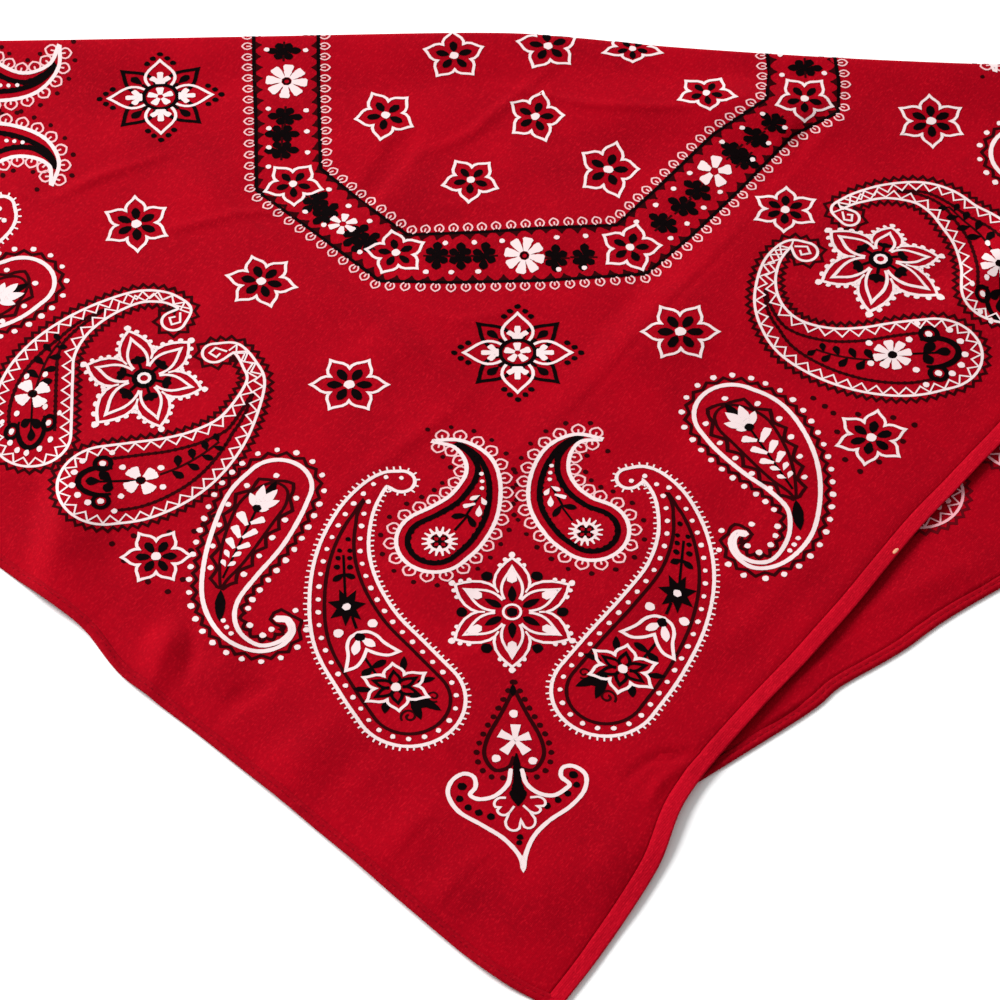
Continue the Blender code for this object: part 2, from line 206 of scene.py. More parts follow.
# Folds and creases of the cloth. Rows: height, width to the left of the way along the line,
# width to its right, sharpness from 0, round, to 1, like an ironed crease, and the line's points
FOLDS = (
    (0.75, 9.0, 9.0, 0.7, ((-143.5, 151), (-105, 114), (-40, 50), (-9.5, 21))),
    (1.75, 40.0, 13.0, 0.2, ((82, 126), (39, 72), (14, 38), (-8, 12))),
    (-0.22, 1.8, 1.8, 0.6, ((80, 121), (41, 71.5), (16, 37), (-5, 12))),
    (-1.00, 7.0, 6.0, 0.2, ((-60, 112), (-54, 125), (-41, 150))),
    (0.62, 3.0, 4.5, 0.8, ((-45, 133), (-38.5, 138), (-25, 145.5), (-14.5, 157), (6, 177))),
    (0.72, 4.5, 3.0, 0.8, ((-19, 168), (0.5, 161.5), (14.5, 157), (35, 155.5), (58, 155))),
    (2.20, 20.0, 20.0, 0.0, ((5, 160), (60, 157), (112, 152))),
    (0.62, 4.5, 3.0, 0.8, ((-166, 113), (-142, 128.5), (-120, 138))),
    (0.60, 4.5, 3.0, 0.8, ((-126, 103), (-104, 109), (-80, 114))),
    (-0.90, 6.0, 6.0, 0.2, ((106, 168), (84.5, 142.5), (68, 118))),
    (0.40, 5.0, 7.0, 0.5, ((-20, 40), (-46, 14), (-76.5, -12))),
    (0.30, 4.0, 4.0, 0.8, ((-58, 78), (-28, 66), (-6, 74))),
    (2.30, 11.0, 22.0, 0.1, ((-154.5, -60), (-151, -20), (-148, 22))),
    (0.80, 3.0, 5.0, 0.5, ((-168, -28), (-160, -36), (-139, -55), (-131, -70))),
    (1.20, 9.0, 7.0, 0.3, ((-122, -82), (-118, -68), (-113, -50))),
    (-0.60, 4.0, 4.0, 0.2, ((-112, -78), (-108.5, -66), (-109, -52))),
    (0.90, 11.0, 12.0, 0.2, ((-104, -80), (-98, -66), (-101, -50))),
    (-0.55, 6.0, 5.0, 0.3, ((-102, -92), (-94, -82), (-82, -74))),
    (0.80, 13.0, 16.0, 0.2, ((-82, -114), (-71, -98), (-58, -86))),
    (0.42, 9.0, 13.0, 0.4, ((-66, -129), (-58, -114), (-46, -102))),
    (0.55, 9.0, 13.0, 0.4, ((-50, -142), (-40, -127), (-30, -114))),
    (0.42, 8.0, 12.0, 0.4, ((-36, -158), (-27, -146), (-15, -134))),
    (0.35, 9.0, 9.0, 0.1, ((27, -112), (20, -132), (12, -158))),
    (-0.14, 1.5, 1.5, 0.5, ((-48, -144), (-38, -130), (-28, -118))),
    (-0.14, 1.5, 1.5, 0.5, ((-34, -160), (-25, -148), (-15, -136))),
    (-0.60, 3.0, 3.0, 0.4, ((22, -112), (30, -104), (38, -101.5), (48, -100))),
    (0.50, 4.0, 3.0, 0.5, ((28, -122), (35, -110), (44, -104.5))),
    (0.60, 9.0, 9.0, 0.1, ((52.5, -66), (70, -42), (88.5, -20))),
    (2.60, 12.0, 12.0, 0.1, ((-290, 150), (-250, 106), (-205, 70))),
    (1.80, 10.0, 10.0, 0.2, ((-236, 168), (-214, 140), (-186, 120))),
    (1.50, 9.0, 9.0, 0.2, ((-262, 66), (-246, 84), (-232, 96))),
    (2.20, 12.0, 12.0, 0.1, ((120, 60), (160, 106), (196, 146))),
    (1.40, 10.0, 10.0, 0.2, ((176, 96), (200, 120), (222, 150))),
)
BACK_FOLDS = (
    (0.45, 3.0, 4.0, 0.6, ((62, -84), (73, -76), (90, -62))),
    (0.50, 6.0, 9.0, 0.2, ((88, -56), (112, -40), (142, -24))),
    (0.35, 3.0, 3.0, 0.6, ((116, -22), (122, -30), (131, -38))),
    (0.40, 4.0, 5.0, 0.3, ((150, -14), (176, 2), (205, 10))),
    (0.45, 6.0, 5.0, 0.3, ((210, 30), (240, 50), (262, 86))),
    (0.40, 5.0, 7.0, 0.3, ((262, 60), (290, 84), (330, 100))),
)
# Slow waves of the whole cloth and short creases scattered over it
WAVE_COUNT = 9
WAVE_LENGTHS = (24.0, 60.0)
WAVE_HEIGHT = 0.11
WAVE_PHASES = (0, 6.28)
CRUMPLES = 110
CRUMPLE_LENGTHS = (12.0, 40.0)
CRUMPLE_HEIGHT = 0.26
CRUMPLE_ACROSS = (-330, 330)
CRUMPLE_UP = (-170, 175)
CRUMPLE_HEADINGS = (52.0, 12.0, -38.0)
CRUMPLE_STRAY = 16
CRUMPLE_BEND = 1.6
CRUMPLE_SHARES = (0.4, 1.0)
CRUMPLE_WIDTHS = (2.0, 5.0)
CRUMPLE_SHARPNESS = (0.2, 0.8)
FOLD_GAIN = 1.5
FOLD_SAMPLE = 1.6
# Unevenness of a fold along its line: its share, waves on the line and shift from fold to fold
FOLD_UNEVEN = 0.22
UNEVEN_WAVES = 1.6
UNEVEN_SHIFT = 0.37


def smooth_curve(rows, count=CURVE_POINTS):
    """Points along a Catmull-Rom curve through the rows, evenly spaced."""
    return resampled(dense_curve(rows), count)


def dense_curve(rows):
    knots = np.array(rows, float)
    knots = np.vstack([2 * knots[0] - knots[1], knots, 2 * knots[-1] - knots[-2]])
    pieces = []
    for i in range(1, len(knots) - 2):
        before, start, end, after = knots[i - 1 : i + 3]
        t = np.linspace(0, 1, SAMPLES_PER_KNOT, endpoint=False)[:, None]
        pieces.append(
            0.5
            * (
                2 * start
                + (end - before) * t
                + (2 * before - 5 * start + 4 * end - after) * t**2
                + (3 * start - before - 3 * end + after) * t**3
            )
        )
    return np.vstack(pieces + [knots[-2:-1]])


def lengths(points):
    """Distance along a path to each of its points."""
    steps = np.linalg.norm(np.diff(points[:, :2], axis=0), axis=1)
    return np.concatenate([[0], np.cumsum(steps)])


def at_lengths(points, wanted):
    """Rows of the path at those distances along it."""
    along = lengths(points)
    return np.stack([np.interp(wanted, along, column) for column in points.T], axis=1)


def resampled(points, count):
    return at_lengths(points, np.linspace(0, lengths(points)[-1], count))


def units(vectors):
    """Rows of vectors, each at length one."""
    return vectors / np.maximum(np.linalg.norm(vectors, axis=1), 1e-9)[:, None]


def left_normals(points):
    tangents = units(np.gradient(points[:, :2], axis=0))
    return np.stack([-tangents[:, 1], tangents[:, 0]], axis=1)


def unit(vector):
    return vector / np.linalg.norm(vector)


def shifted(points, distance):
    """The path moved to its left, and run on at both ends so that it meets its neighbours."""
    path = points + distance * left_normals(points)
    start = path[0] - EDGE_RUN_ON * unit(path[1] - path[0])
    end = path[-1] + EDGE_RUN_ON * unit(path[-1] - path[-2])
    return np.vstack([start, path, end])


def crossing(path, other):
    """How far along `path`, in points, it first crosses `other`."""
    start, step = path[:-1, None], np.diff(path, axis=0)[:, None]
    base, run = other[None, :-1], np.diff(other, axis=0)[None]
    across = step[..., 0] * run[..., 1] - step[..., 1] * run[..., 0]
    offset = base - start
    with np.errstate(divide="ignore", invalid="ignore"):
        on_path = (offset[..., 0] * run[..., 1] - offset[..., 1] * run[..., 0]) / across
        on_other = (offset[..., 0] * step[..., 1] - offset[..., 1] * step[..., 0]) / across
    hits = (on_path >= 0) & (on_path <= 1) & (on_other >= 0) & (on_other <= 1)
    place = np.argwhere(hits)[0]
    return place[0] + on_path[place[0], place[1]]


def clipped(path, first, last):
    """The stretch of `path` between its crossings with two other paths."""
    start, end = crossing(path, first), crossing(path, last)
    if start > end:
        return clipped(path, last, first)[::-1]
    places = np.concatenate([[start], np.arange(math.ceil(start), math.floor(end) + 1), [end]])
    numbers = np.arange(len(path))
    return np.stack([np.interp(places, numbers, path[:, k]) for k in (0, 1)], axis=1)


def patch(bottom, top, left, right):
    """A Coons patch of plan points: rows run from bottom to top, columns from left to right."""
    v = np.linspace(0, 1, len(left))[:, None, None]
    u = np.linspace(0, 1, len(bottom))[None, :, None]
    between_rows = (1 - v) * bottom[None] + v * top[None]
    between_columns = (1 - u) * left[:, None] + u * right[:, None]
    corners = (
        (1 - u) * (1 - v) * bottom[0]
        + u * (1 - v) * bottom[-1]
        + (1 - u) * v * top[0]
        + u * v * top[-1]
    )
    return between_rows + between_columns - corners


def ease(t):
    t = np.clip(t, 0, 1)
    return t * t * (3 - 2 * t)


def outside(plan, start, end):
    """Distance of plan points to the left of the line from start to end."""
    along = unit(np.subtract(end, start))
    offset = plan - np.array(start)
    return along[0] * offset[..., 1] - along[1] * offset[..., 0]


FOLD = smooth_curve(FOLD_EDGE, FOLD_POINTS)


def fold_distance(plan):
    """How far plan points lie from the top of the fold's roll, towards the near corner."""
    far_side = np.interp(plan[..., 0], FOLD[:, 0], FOLD[:, 1])
    return far_side - FOLD_RADIUS - plan[..., 1]


def prepared(table):
    """Each fold's line as close points, with its normals and the distance along it."""
    made = []
    for number, (height, left, right, sharp, rows) in enumerate(table):
        height *= FOLD_GAIN
        curve = dense_curve(rows)
        line = resampled(curve, max(8, int(lengths(curve)[-1] / FOLD_SAMPLE)))
        made.append((height, left, right, sharp, line, left_normals(line), lengths(line), number))
    return made


def fold_relief(plan, folds):
    """Sum of soft ridges and troughs, each uneven along its line and fading out to its ends."""
    flat = plan.reshape(-1, 2)
    total = np.zeros(len(flat))
    for height, left, right, sharp, line, normals, along, number in folds:
        reach = max(left, right)
        low, high = line.min(axis=0) - reach, line.max(axis=0) + reach
        near = np.flatnonzero(((flat > low) & (flat < high)).all(axis=1))
        if not len(near):
            continue
        points = flat[near]
        nearest = ((points[:, None] - line[None]) ** 2).sum(axis=2).argmin(axis=1)
        offset = points - line[nearest]
        normal = normals[nearest]
        across = (offset * normal).sum(axis=1)
        way = offset[:, 0] * normal[:, 1] - offset[:, 1] * normal[:, 0]
        share = np.clip((along[nearest] + way) / along[-1], 0, 1)
        side = np.clip(np.abs(across) / np.where(across > 0, left, right), 0, 1)
        profile = (1 - sharp) * np.cos(side * math.pi / 2) ** 2 + sharp * (1 - side) ** 2
        waves = UNEVEN_WAVES * share + UNEVEN_SHIFT * number
        uneven = 1 + FOLD_UNEVEN * np.sin(2 * math.pi * waves)
        total[near] += height * profile * uneven * np.sin(share * math.pi) ** RIDGE_END_FADE
    return total.reshape(plan.shape[:-1])


def scattered():
    """Short shallow creases all over the cloth, most of them close to three directions."""
    rows = []
    for _ in range(CRUMPLES):
        middle = np.array((RANDOM.uniform(*CRUMPLE_ACROSS), RANDOM.uniform(*CRUMPLE_UP)))
        heading = RANDOM.choice(CRUMPLE_HEADINGS) + RANDOM.normal(0, CRUMPLE_STRAY)
        heading = math.radians(heading)
        way = np.array((math.cos(heading), math.sin(heading)))
        half = RANDOM.uniform(*CRUMPLE_LENGTHS) / 2 * way
        bend = RANDOM.normal(0, CRUMPLE_BEND, 2)
        height = CRUMPLE_HEIGHT * RANDOM.choice((1, -1)) * RANDOM.uniform(*CRUMPLE_SHARES)
        left, right = RANDOM.uniform(*CRUMPLE_WIDTHS, 2)
        line = (tuple(middle - half), tuple(middle + bend), tuple(middle + half))
        rows.append((height, left, right, RANDOM.uniform(*CRUMPLE_SHARPNESS), line))
    return tuple(rows)


def random_waves():
    """Rows of (waves across, waves up, phase), all in radians."""
    rows = []
    for _ in range(WAVE_COUNT):
        turn = RANDOM.uniform(0, math.pi)
        number = 2 * math.pi / RANDOM.uniform(*WAVE_LENGTHS)
        phase = RANDOM.uniform(*WAVE_PHASES)
        rows.append((number * math.cos(turn), number * math.sin(turn), phase))
    return rows


FLAP_RELIEF = prepared(FOLDS + scattered())
BACK_RELIEF = prepared(BACK_FOLDS + scattered())
WAVES = random_waves()


def slow_waves(plan):
    total = np.zeros(plan.shape[:-1])
    for kx, ky, phase in WAVES:
        total += WAVE_HEIGHT * np.sin(kx * plan[..., 0] + ky * plan[..., 1] + phase)
    return total


def flap_underside(plan):
    """Height of the cloth's lower face: on the back layer or the floor, and up to the fold."""
    past_hem = -outside(plan, HIDDEN_CORNER, BACK_HEM_EDGE[1])
    past_selvedge = -outside(plan, FOLD_LEFT_END, HIDDEN_CORNER)
    past = np.maximum(past_hem, past_selvedge)
    base = LIFT * (1 - ease((past - DROP_START) / (DROP_END - DROP_START)))
    from_fold = fold_distance(plan)
    relief = fold_relief(plan, FLAP_RELIEF) + slow_waves(plan)
    relief = np.maximum(relief, -FLAP_SINK_SHARE * base - FLAP_SINK)
    base = base + relief * ease(from_fold / CALM_NEAR_FOLD)
    roll_top = 2 * FOLD_RADIUS - WALL
    return base + (roll_top - base) * ease(1 - from_fold / FOLD_RISE_LENGTH)


def flap_top(plan):
    return flap_underside(plan) + CLOTH_OVER


def back_relief(plan):
    """Creases of the lower stretch where it lies clear of the flap, which holds the rest flat."""
    clear = outside(plan, NEAR_CORNER, FOLD_RIGHT_END) < BACK_CREASE_REACH
    relief = np.maximum(fold_relief(plan, BACK_RELIEF) + slow_waves(plan), -BACK_SINK)
    return relief * clear * ease(fold_distance(plan) / CALM_NEAR_FOLD)


def back_top(plan):
    return BACK_OVER + back_relief(plan)


def with_height(plan, height):
    return np.concatenate([plan, np.broadcast_to(height, plan.shape[:-1])[..., None]], axis=-1)


# Meshes


def add_object(name, data):
    thing = bpy.data.objects.new(name, data)
    bpy.context.scene.collection.objects.link(thing)
    return thing


def mesh_piece(name, points, faces, material):
    """An object from points in millimetres and faces, which are all quads or all triangles."""
    points = np.asarray(points, float).reshape(-1, 3) * MM
    faces = np.asarray(faces, np.int32)
    count, corners = faces.shape
    mesh = bpy.data.meshes.new(name)
    mesh.vertices.add(len(points))
    mesh.vertices.foreach_set("co", points.astype(np.float32).ravel())
    mesh.loops.add(count * corners)
    mesh.loops.foreach_set("vertex_index", faces.ravel())
    mesh.polygons.add(count)
    mesh.polygons.foreach_set("loop_start", np.arange(count, dtype=np.int32) * corners)
    mesh.polygons.foreach_set("loop_total", np.full(count, corners, np.int32))
    mesh.update(calc_edges=True)
    mesh.validate()
    mesh.materials.append(material)
    mesh.shade_smooth()
    return add_object(name, mesh)


def grid_quads(rows, columns, start=0, flip=False):
    i, j = np.meshgrid(np.arange(rows - 1), np.arange(columns - 1), indexing="ij")
    corner = (start + i * columns + j).ravel()
    order = (0, columns, columns + 1, 1) if flip else (0, 1, columns + 1, columns)
    return np.stack([corner + step for step in order], axis=1)


def rim_loop(rows, columns):
    bottom = list(range(columns))
    right = [i * columns + columns - 1 for i in range(1, rows)]
    top = [(rows - 1) * columns + j for j in range(columns - 2, -1, -1)]
    left = [i * columns for i in range(rows - 2, 0, -1)]
    return bottom + right + top + left


def coarse_faces(rows, columns, step):
    """Faces of a grid that uses only every few points inside, and all of them along its rim."""
    rows_used = list(range(0, rows - 1, step)) + [rows - 1]
    columns_used = list(range(0, columns - 1, step)) + [columns - 1]
    faces = []
    for i0, i1 in zip(rows_used[:-1], rows_used[1:]):
        for j0, j1 in zip(columns_used[:-1], columns_used[1:]):
            bottom = range(j0, j1) if i0 == 0 else (j0,)
            right = range(i0, i1) if j1 == columns - 1 else (i0,)
            top = range(j1, j0, -1) if i1 == rows - 1 else (j1,)
            left = range(i1, i0, -1) if j0 == 0 else (i1,)
            face = [i0 * columns + j for j in bottom] + [i * columns + j1 for i in right]
            face += [i1 * columns + j for j in top] + [i * columns + j0 for i in left]
            faces.append(face)
    return faces


def shell_piece(name, over, under, material):
    """A thin closed shell from two matching grids of points. Its lower face is coarser."""
    rows, columns = over.shape[:2]
    count = rows * columns
    upside = np.cross(over[1, 0] - over[0, 0], over[0, 1] - over[0, 0])[2] < 0
    faces = grid_quads(rows, columns, 0, not upside).tolist()
    for face in coarse_faces(rows, columns, UNDER_STEP):
        face = [point + count for point in face]
        faces.append(face[::-1] if upside else face)
    rim = rim_loop(rows, columns)
    for here, after in zip(rim, rim[1:] + rim[:1]):
        quad = [here, after, after + count, here + count]
        faces.append(quad[::-1] if upside else quad)
    points = np.concatenate([over.reshape(-1, 3), under.reshape(-1, 3)]) * MM
    used, index = np.unique(np.concatenate(faces), return_inverse=True)
    ends = np.cumsum([len(face) for face in faces])
    renumbered = [part.tolist() for part in np.split(index, ends[:-1])]
    mesh = bpy.data.meshes.new(name)
    mesh.from_pydata(points[used].tolist(), [], renumbered)
    mesh.materials.append(material)
    mesh.shade_smooth()
    return add_object(name, mesh)


def sweep_piece(name, rings, material):
    """A closed bar from its cross-sections: an array (place along, place round, xyz)."""
    count, around = rings.shape[:2]
    i, j = np.meshgrid(np.arange(count - 1), np.arange(around), indexing="ij")
    here = i * around + j
    beside = i * around + (j + 1) % around
    sides = np.stack([here, beside, beside + around, here + around], axis=-1).reshape(-1, 4)
    half = around // 2
    caps = []
    for ring, turn in ((0, 1), (count - 1, -1)):
        start = ring * around
        for j in range(half - 1):
            quad = [start + j, start + around - 1 - j, start + around - 2 - j, start + j + 1]
            caps.append(quad[::turn])
    faces = np.concatenate([sides, np.array(caps)])
    corners = rings.reshape(-1, 3)[faces]
    volume = (np.cross(corners[:, 0], corners[:, 1]) * corners[:, 2]).sum()
    volume += (np.cross(corners[:, 0], corners[:, 2]) * corners[:, 3]).sum()
    if volume < 0:
        faces = faces[:, ::-1]
    return mesh_piece(name, rings, faces, material)


# Materials


class Look:
    """A material of one shader, with its nodes in a frame that is turned to the threads."""

    def __init__(self, name, settings, turn=0.0):
        self.material = bpy.data.materials.new(name)
        self.material.use_nodes = True
        self.nodes = self.material.node_tree.nodes
        self.links = self.material.node_tree.links
        self.shader = self.nodes["Principled BSDF"]
        self.turn = turn
        for socket, value in settings.items():
            self.shader.inputs[socket].default_value = value

    def place(self, stretch=(1, 1)):
        """Object coordinates in millimetres, turned to the threads and stretched along them."""
        place = self.nodes.new("ShaderNodeTexCoord")
        mapping = self.nodes.new("ShaderNodeMapping")
        mapping.vector_type = "TEXTURE"
        mapping.inputs["Rotation"].default_value = (0, 0, math.radians(self.turn))
        mapping.inputs["Scale"].default_value = (MM / stretch[0], MM / stretch[1], MM)
        self.links.new(place.outputs["Object"], mapping.inputs["Vector"])
        return mapping.outputs["Vector"]

    def math(self, operation, first, second):
        node = self.nodes.new("ShaderNodeMath")
        node.operation = operation
        for socket, value in zip(node.inputs, (first, second)):
            if isinstance(value, (int, float)):
                socket.default_value = value
            else:
                self.links.new(value, socket)
        return node.outputs[0]

    def noise(self, scale, detail=2.0, stretch=(1, 1)):
        node = self.nodes.new("ShaderNodeTexNoise")
        node.inputs["Scale"].default_value = scale
        node.inputs["Detail"].default_value = detail
        self.links.new(self.place(stretch), node.inputs["Vector"])
        return node.outputs["Fac"]

    def weave(self, pitch, relief):
        """Bumps of a plain weave of uneven threads. Returns how thick the threads are."""
        plain = self.place()
        waves = []
        for direction in ("X", "Y"):
            wave = self.nodes.new("ShaderNodeTexWave")
            wave.bands_direction = direction
            wave.inputs["Scale"].default_value = 2 * math.pi / pitch / 20
            wave.inputs["Distortion"].default_value = THREAD_WAVER
            wave.inputs["Detail Scale"].default_value = THREAD_WAVER
            self.links.new(plain, wave.inputs["Vector"])
            waves.append(wave.outputs["Fac"])
        slubs = [self.noise(SLUB_SCALE, 2.0, stretch) for stretch in SLUB_STRETCHES]
        slubs = self.math("ADD", *slubs)
        threads = self.math("MULTIPLY", self.math("ADD", *waves), 0.5)
        bump = self.nodes.new("ShaderNodeBump")
        bump.inputs["Strength"].default_value = BUMP_STRENGTH
        bump.inputs["Distance"].default_value = relief * MM
        self.links.new(self.math("ADD", threads, slubs), bump.inputs["Height"])
        self.links.new(bump.outputs["Normal"], self.shader.inputs["Normal"])
        return slubs


CLOTH_SETTINGS = {
    "Roughness": 0.85,
    "Specular IOR Level": 0.12,
    "Specular Tint": (1.0, 0.06, 0.12, 1.0),
    "Sheen Weight": 0.12,
    "Sheen Roughness": 0.5,
    "Sheen Tint": (1.0, 0.03, 0.08, 1.0),
}


def cloth_material(name, dark, light, pitch, relief):
    """Woven cotton: threads, slubs, a slow mottling between two reds, and painted glints of the
    threads.
    """
    look = Look(name, CLOTH_SETTINGS, THREAD_TURN)
    slubs = look.weave(pitch, relief)
    mottle = look.math("MULTIPLY", look.noise(MOTTLE_SCALE, 3.0), MOTTLE_SHARE)
    for part, share in ((slubs, SLUB_SHARE), (look.noise(GRAIN_SCALE), GRAIN_SHARE)):
        mottle = look.math("ADD", mottle, look.math("MULTIPLY", part, share))
    ramp = look.nodes.new("ShaderNodeValToRGB")
    for stop, position, colour in zip(ramp.color_ramp.elements, MOTTLE_RAMP, (dark, light)):
        stop.position = position
        stop.color = colour
    look.links.new(mottle, ramp.inputs["Fac"])
    # Painted highlight: glints of the threads, painted into the base colour as lighter flecks
    glint = look.math("SUBTRACT", look.noise(GLINT_SCALE, 1.0, GLINT_STRETCH), GLINT_START)
    glint = look.math("MULTIPLY", look.math("MAXIMUM", glint, 0.0), GLINT_GAIN)
    mix = look.nodes.new("ShaderNodeMix")
    mix.data_type = "RGBA"
    mix.clamp_factor = True
    look.links.new(glint, mix.inputs[MIX_FACTOR])
    look.links.new(ramp.outputs["Color"], mix.inputs[MIX_FIRST])
    painted_glint_colour = [GLINT_LIGHT * channel + GLINT_FLOOR for channel in light[:3]]
    mix.inputs[MIX_SECOND].default_value = painted_glint_colour + [1.0]
    look.links.new(mix.outputs[MIX_RESULT], look.shader.inputs["Base Color"])
    return look.material


def ink_material(name, colour):
    """Ink that has soaked into the threads, so that the weave shows through it."""
    look = Look(name, {"Base Color": colour, "Specular IOR Level": 0.03}, INK_THREAD_TURN)
    spread = look.math("MULTIPLY", look.weave(THREAD_PITCH, 0.04), INK_ROUGH_SPREAD)
    rough = look.math("ADD", spread, INK_ROUGH)
    look.links.new(rough, look.shader.inputs["Roughness"])
    return look.material


def srgb(red, green, blue):
    """A shader colour from screen values of 0 to 255."""
    linear = []
    for value in (red, green, blue):
        share = value / 255
        linear.append(share / 12.92 if share <= 0.04045 else ((share + 0.055) / 1.055) ** 2.4)
    return (*linear, 1.0)


# Stage


PAPER_SETTINGS = {
    "Base Color": (0.97, 0.97, 0.97, 1.0),
    "Roughness": 0.9,
    "Specular IOR Level": 0.1,
}


def build_stage():
    scene = bpy.context.scene
    scene.view_settings.view_transform = "Standard"
    world = bpy.data.worlds.new("studio")
    world.use_nodes = True
    background = world.node_tree.nodes["Background"]
    background.inputs["Color"].default_value = (1.0, 1.0, 1.0, 1.0)
    background.inputs["Strength"].default_value = WORLD_STRENGTH
    scene.world = world

    data = bpy.data.cameras.new("camera")
    data.lens = CAMERA_LENS
    data.sensor_width = CAMERA_SENSOR
    data.clip_start, data.clip_end = CAMERA_CLIP
    back = Vector((0, -math.cos(CAMERA_ELEVATION), math.sin(CAMERA_ELEVATION)))
    place = (Vector(CAMERA_TARGET) + back * CAMERA_DISTANCE) * MM
    scene.camera = add_aimed("camera", data, place, -back)

    data = bpy.data.lights.new("key", "AREA")
    data.shape = "DISK"
    data.size = LAMP_SIZE
    data.energy = LAMP_WATTS
    add_aimed("key", data, LAMP_PLACE, -Vector(LAMP_PLACE))

    mesh = bpy.data.meshes.new("floor")
    side = FLOOR_SIDE
    corners = [(-side, -side, 0), (side, -side, 0), (side, side, 0), (-side, side, 0)]
    mesh.from_pydata(corners, [], [(0, 1, 2, 3)])
    mesh.materials.append(Look("paper", PAPER_SETTINGS).material)
    floor = add_object("floor", mesh)


def add_aimed(name, data, place, way):
    """A camera or a light that looks from a place along a way."""
    thing = add_object(name, data)
    thing.location = place
    thing.rotation_mode = "QUATERNION"
    thing.rotation_quaternion = way.to_track_quat("-Z", "Y")
    return thing


# Cloth pieces

# Edges: (name, rows, side of the cloth: 1 on the left of the way along it, width of its strip)
EDGES = (
    ("front_hem", FRONT_HEM_EDGE, -1, HEM_WIDTH),
    ("front_selvedge_right", FRONT_RIGHT_EDGE, 1, SELVEDGE_WIDTH),
    ("front_selvedge_left", FRONT_LEFT_EDGE, -1, SELVEDGE_WIDTH),
    ("back_hem", BACK_HEM_EDGE, 1, HEM_WIDTH),
    ("back_selvedge_right", BACK_RIGHT_EDGE, 1, SELVEDGE_WIDTH),
    ("back_selvedge_left", BACK_LEFT_EDGE, -1, SELVEDGE_WIDTH),
)
INWARD = {edge[0]: edge[2] for edge in EDGES}


def edge_lines():
    """Lines along the cloth's free edges and along its panels, by name, with the fold's roll."""
    free = {"roll": shifted(FOLD, -FOLD_RADIUS)}
    panel = dict(free)
    for name, rows, inward, width in EDGES:
        line = smooth_curve(rows)
        free[name] = shifted(line, 0)
        panel[name] = shifted(line, inward * (width + SEAM_GAP))
    return free, panel


def spread(path, count):
    """Points along a path, closer together towards its start."""
    even = np.linspace(0, 1, count)
    share = EVEN_SPACING * even + (1 - EVEN_SPACING) * even**3
    return at_lengths(path, share * lengths(path)[-1])


def panel_plan(panel, bottom, left, right, top, rows, columns):
    """Plan points between a panel's four sides, each cut off where it meets its neighbours."""
    return patch(
        spread(clipped(panel[bottom], panel[left], panel[right]), columns + 1),
        spread(clipped(panel[top], panel[left], panel[right]), columns + 1),
        resampled(clipped(panel[left], panel[bottom], panel[top]), rows + 1),
        resampled(clipped(panel[right], panel[bottom], panel[top]), rows + 1),
    )


def over_roll(edge, reach):
    """Rows of points round the fold's half-round roll, from plan points on its top, with radii."""
    slopes = np.interp(edge[:, 0], FOLD[:, 0], np.gradient(FOLD[:, 1], FOLD[:, 0]))
    outward = np.stack([-slopes, np.ones(len(edge))], axis=1)
    outward /= np.linalg.norm(outward, axis=1)[:, None]
    rows = []
    for i in range(1, ROLL_STEPS + 1):
        angle = math.pi / 2 - math.pi * i / ROLL_STEPS
        plan = edge + (reach * math.cos(angle))[:, None] * outward
        rows.append(with_height(plan, FOLD_RADIUS + reach * math.sin(angle)))
    return np.array(rows)


def groove(plan):
    """The cloth dips where it meets the woven edge in the first column."""
    distance = np.linalg.norm(plan - plan[:, :1], axis=-1)
    return -GROOVE_DEPTH * np.exp(-((distance / GROOVE_WIDTH) ** 2))


def flap_faces(plan):
    """Upper and lower points of the flap, which run on round the fold's roll."""
    relief = groove(plan) * ease(fold_distance(plan) / FOLD_RISE_LENGTH)
    low = np.maximum(flap_underside(plan) + relief + CLOTH_UNDER, FLOOR_GAP)
    faces = []
    for height, radius in ((low + CLOTH_OVER - CLOTH_UNDER, ROLL_OUTER), (low, ROLL_INNER)):
        roll = over_roll(plan[-1], np.full(plan.shape[1], radius))
        faces.append(np.concatenate([with_height(plan, height), roll]))
    return faces


def back_faces(plan):
    relief = back_relief(plan)
    return with_height(plan, BACK_OVER + relief), with_height(plan, BACK_UNDER + relief)


# Cross-sections: (distance in from the free edge, height over the solid's lower face)
HEM_SECTION = (
    (3.95, 0.80), (3.25, 0.98), (2.75, 1.12), (2.25, 0.90), (1.75, 1.14), (1.00, 1.24),
    (0.35, 1.08), (0.00, 0.66), (0.25, 0.24), (1.00, 0.12), (1.75, 0.12), (2.25, 0.14),
    (2.75, 0.20), (3.95, 0.48),
)
SELVEDGE_SECTION = (
    (5.60, 0.42), (5.05, 0.72), (4.55, 1.00), (3.40, 1.04), (2.00, 1.04), (0.80, 1.06),
    (0.15, 1.00), (0.00, 0.78), (0.15, 0.56), (0.80, 0.50), (2.00, 0.46), (3.40, 0.44),
    (4.55, 0.40), (5.60, 0.30),
)


def edge_rings(line, inward, section, height_of, curl, rolls):
    """Cross-sections of a hem or a woven edge along its free edge, over the fold if it rolls."""
    count = max(8, int(lengths(line)[-1] / EDGE_STEP))
    line = resampled(line, count)
    normals = left_normals(line) * inward
    rows = np.array(section)
    plan = line[:, None] + normals[:, None] * rows[None, :, :1]
    base = height_of(plan)
    rise = curl * np.clip(1 - rows[:, 0] / SELVEDGE_WIDTH, 0, 1) ** 2
    rise = rise[None] * ease(fold_distance(plan) / FOLD_RISE_LENGTH)
    rings = with_height(plan, base + rows[None, :, 1] + rise)
    if rolls:
        extra = over_roll(plan[-1], rings[-1, :, 2] - FOLD_RADIUS)
        rings = np.concatenate([rings, extra])
    return rings


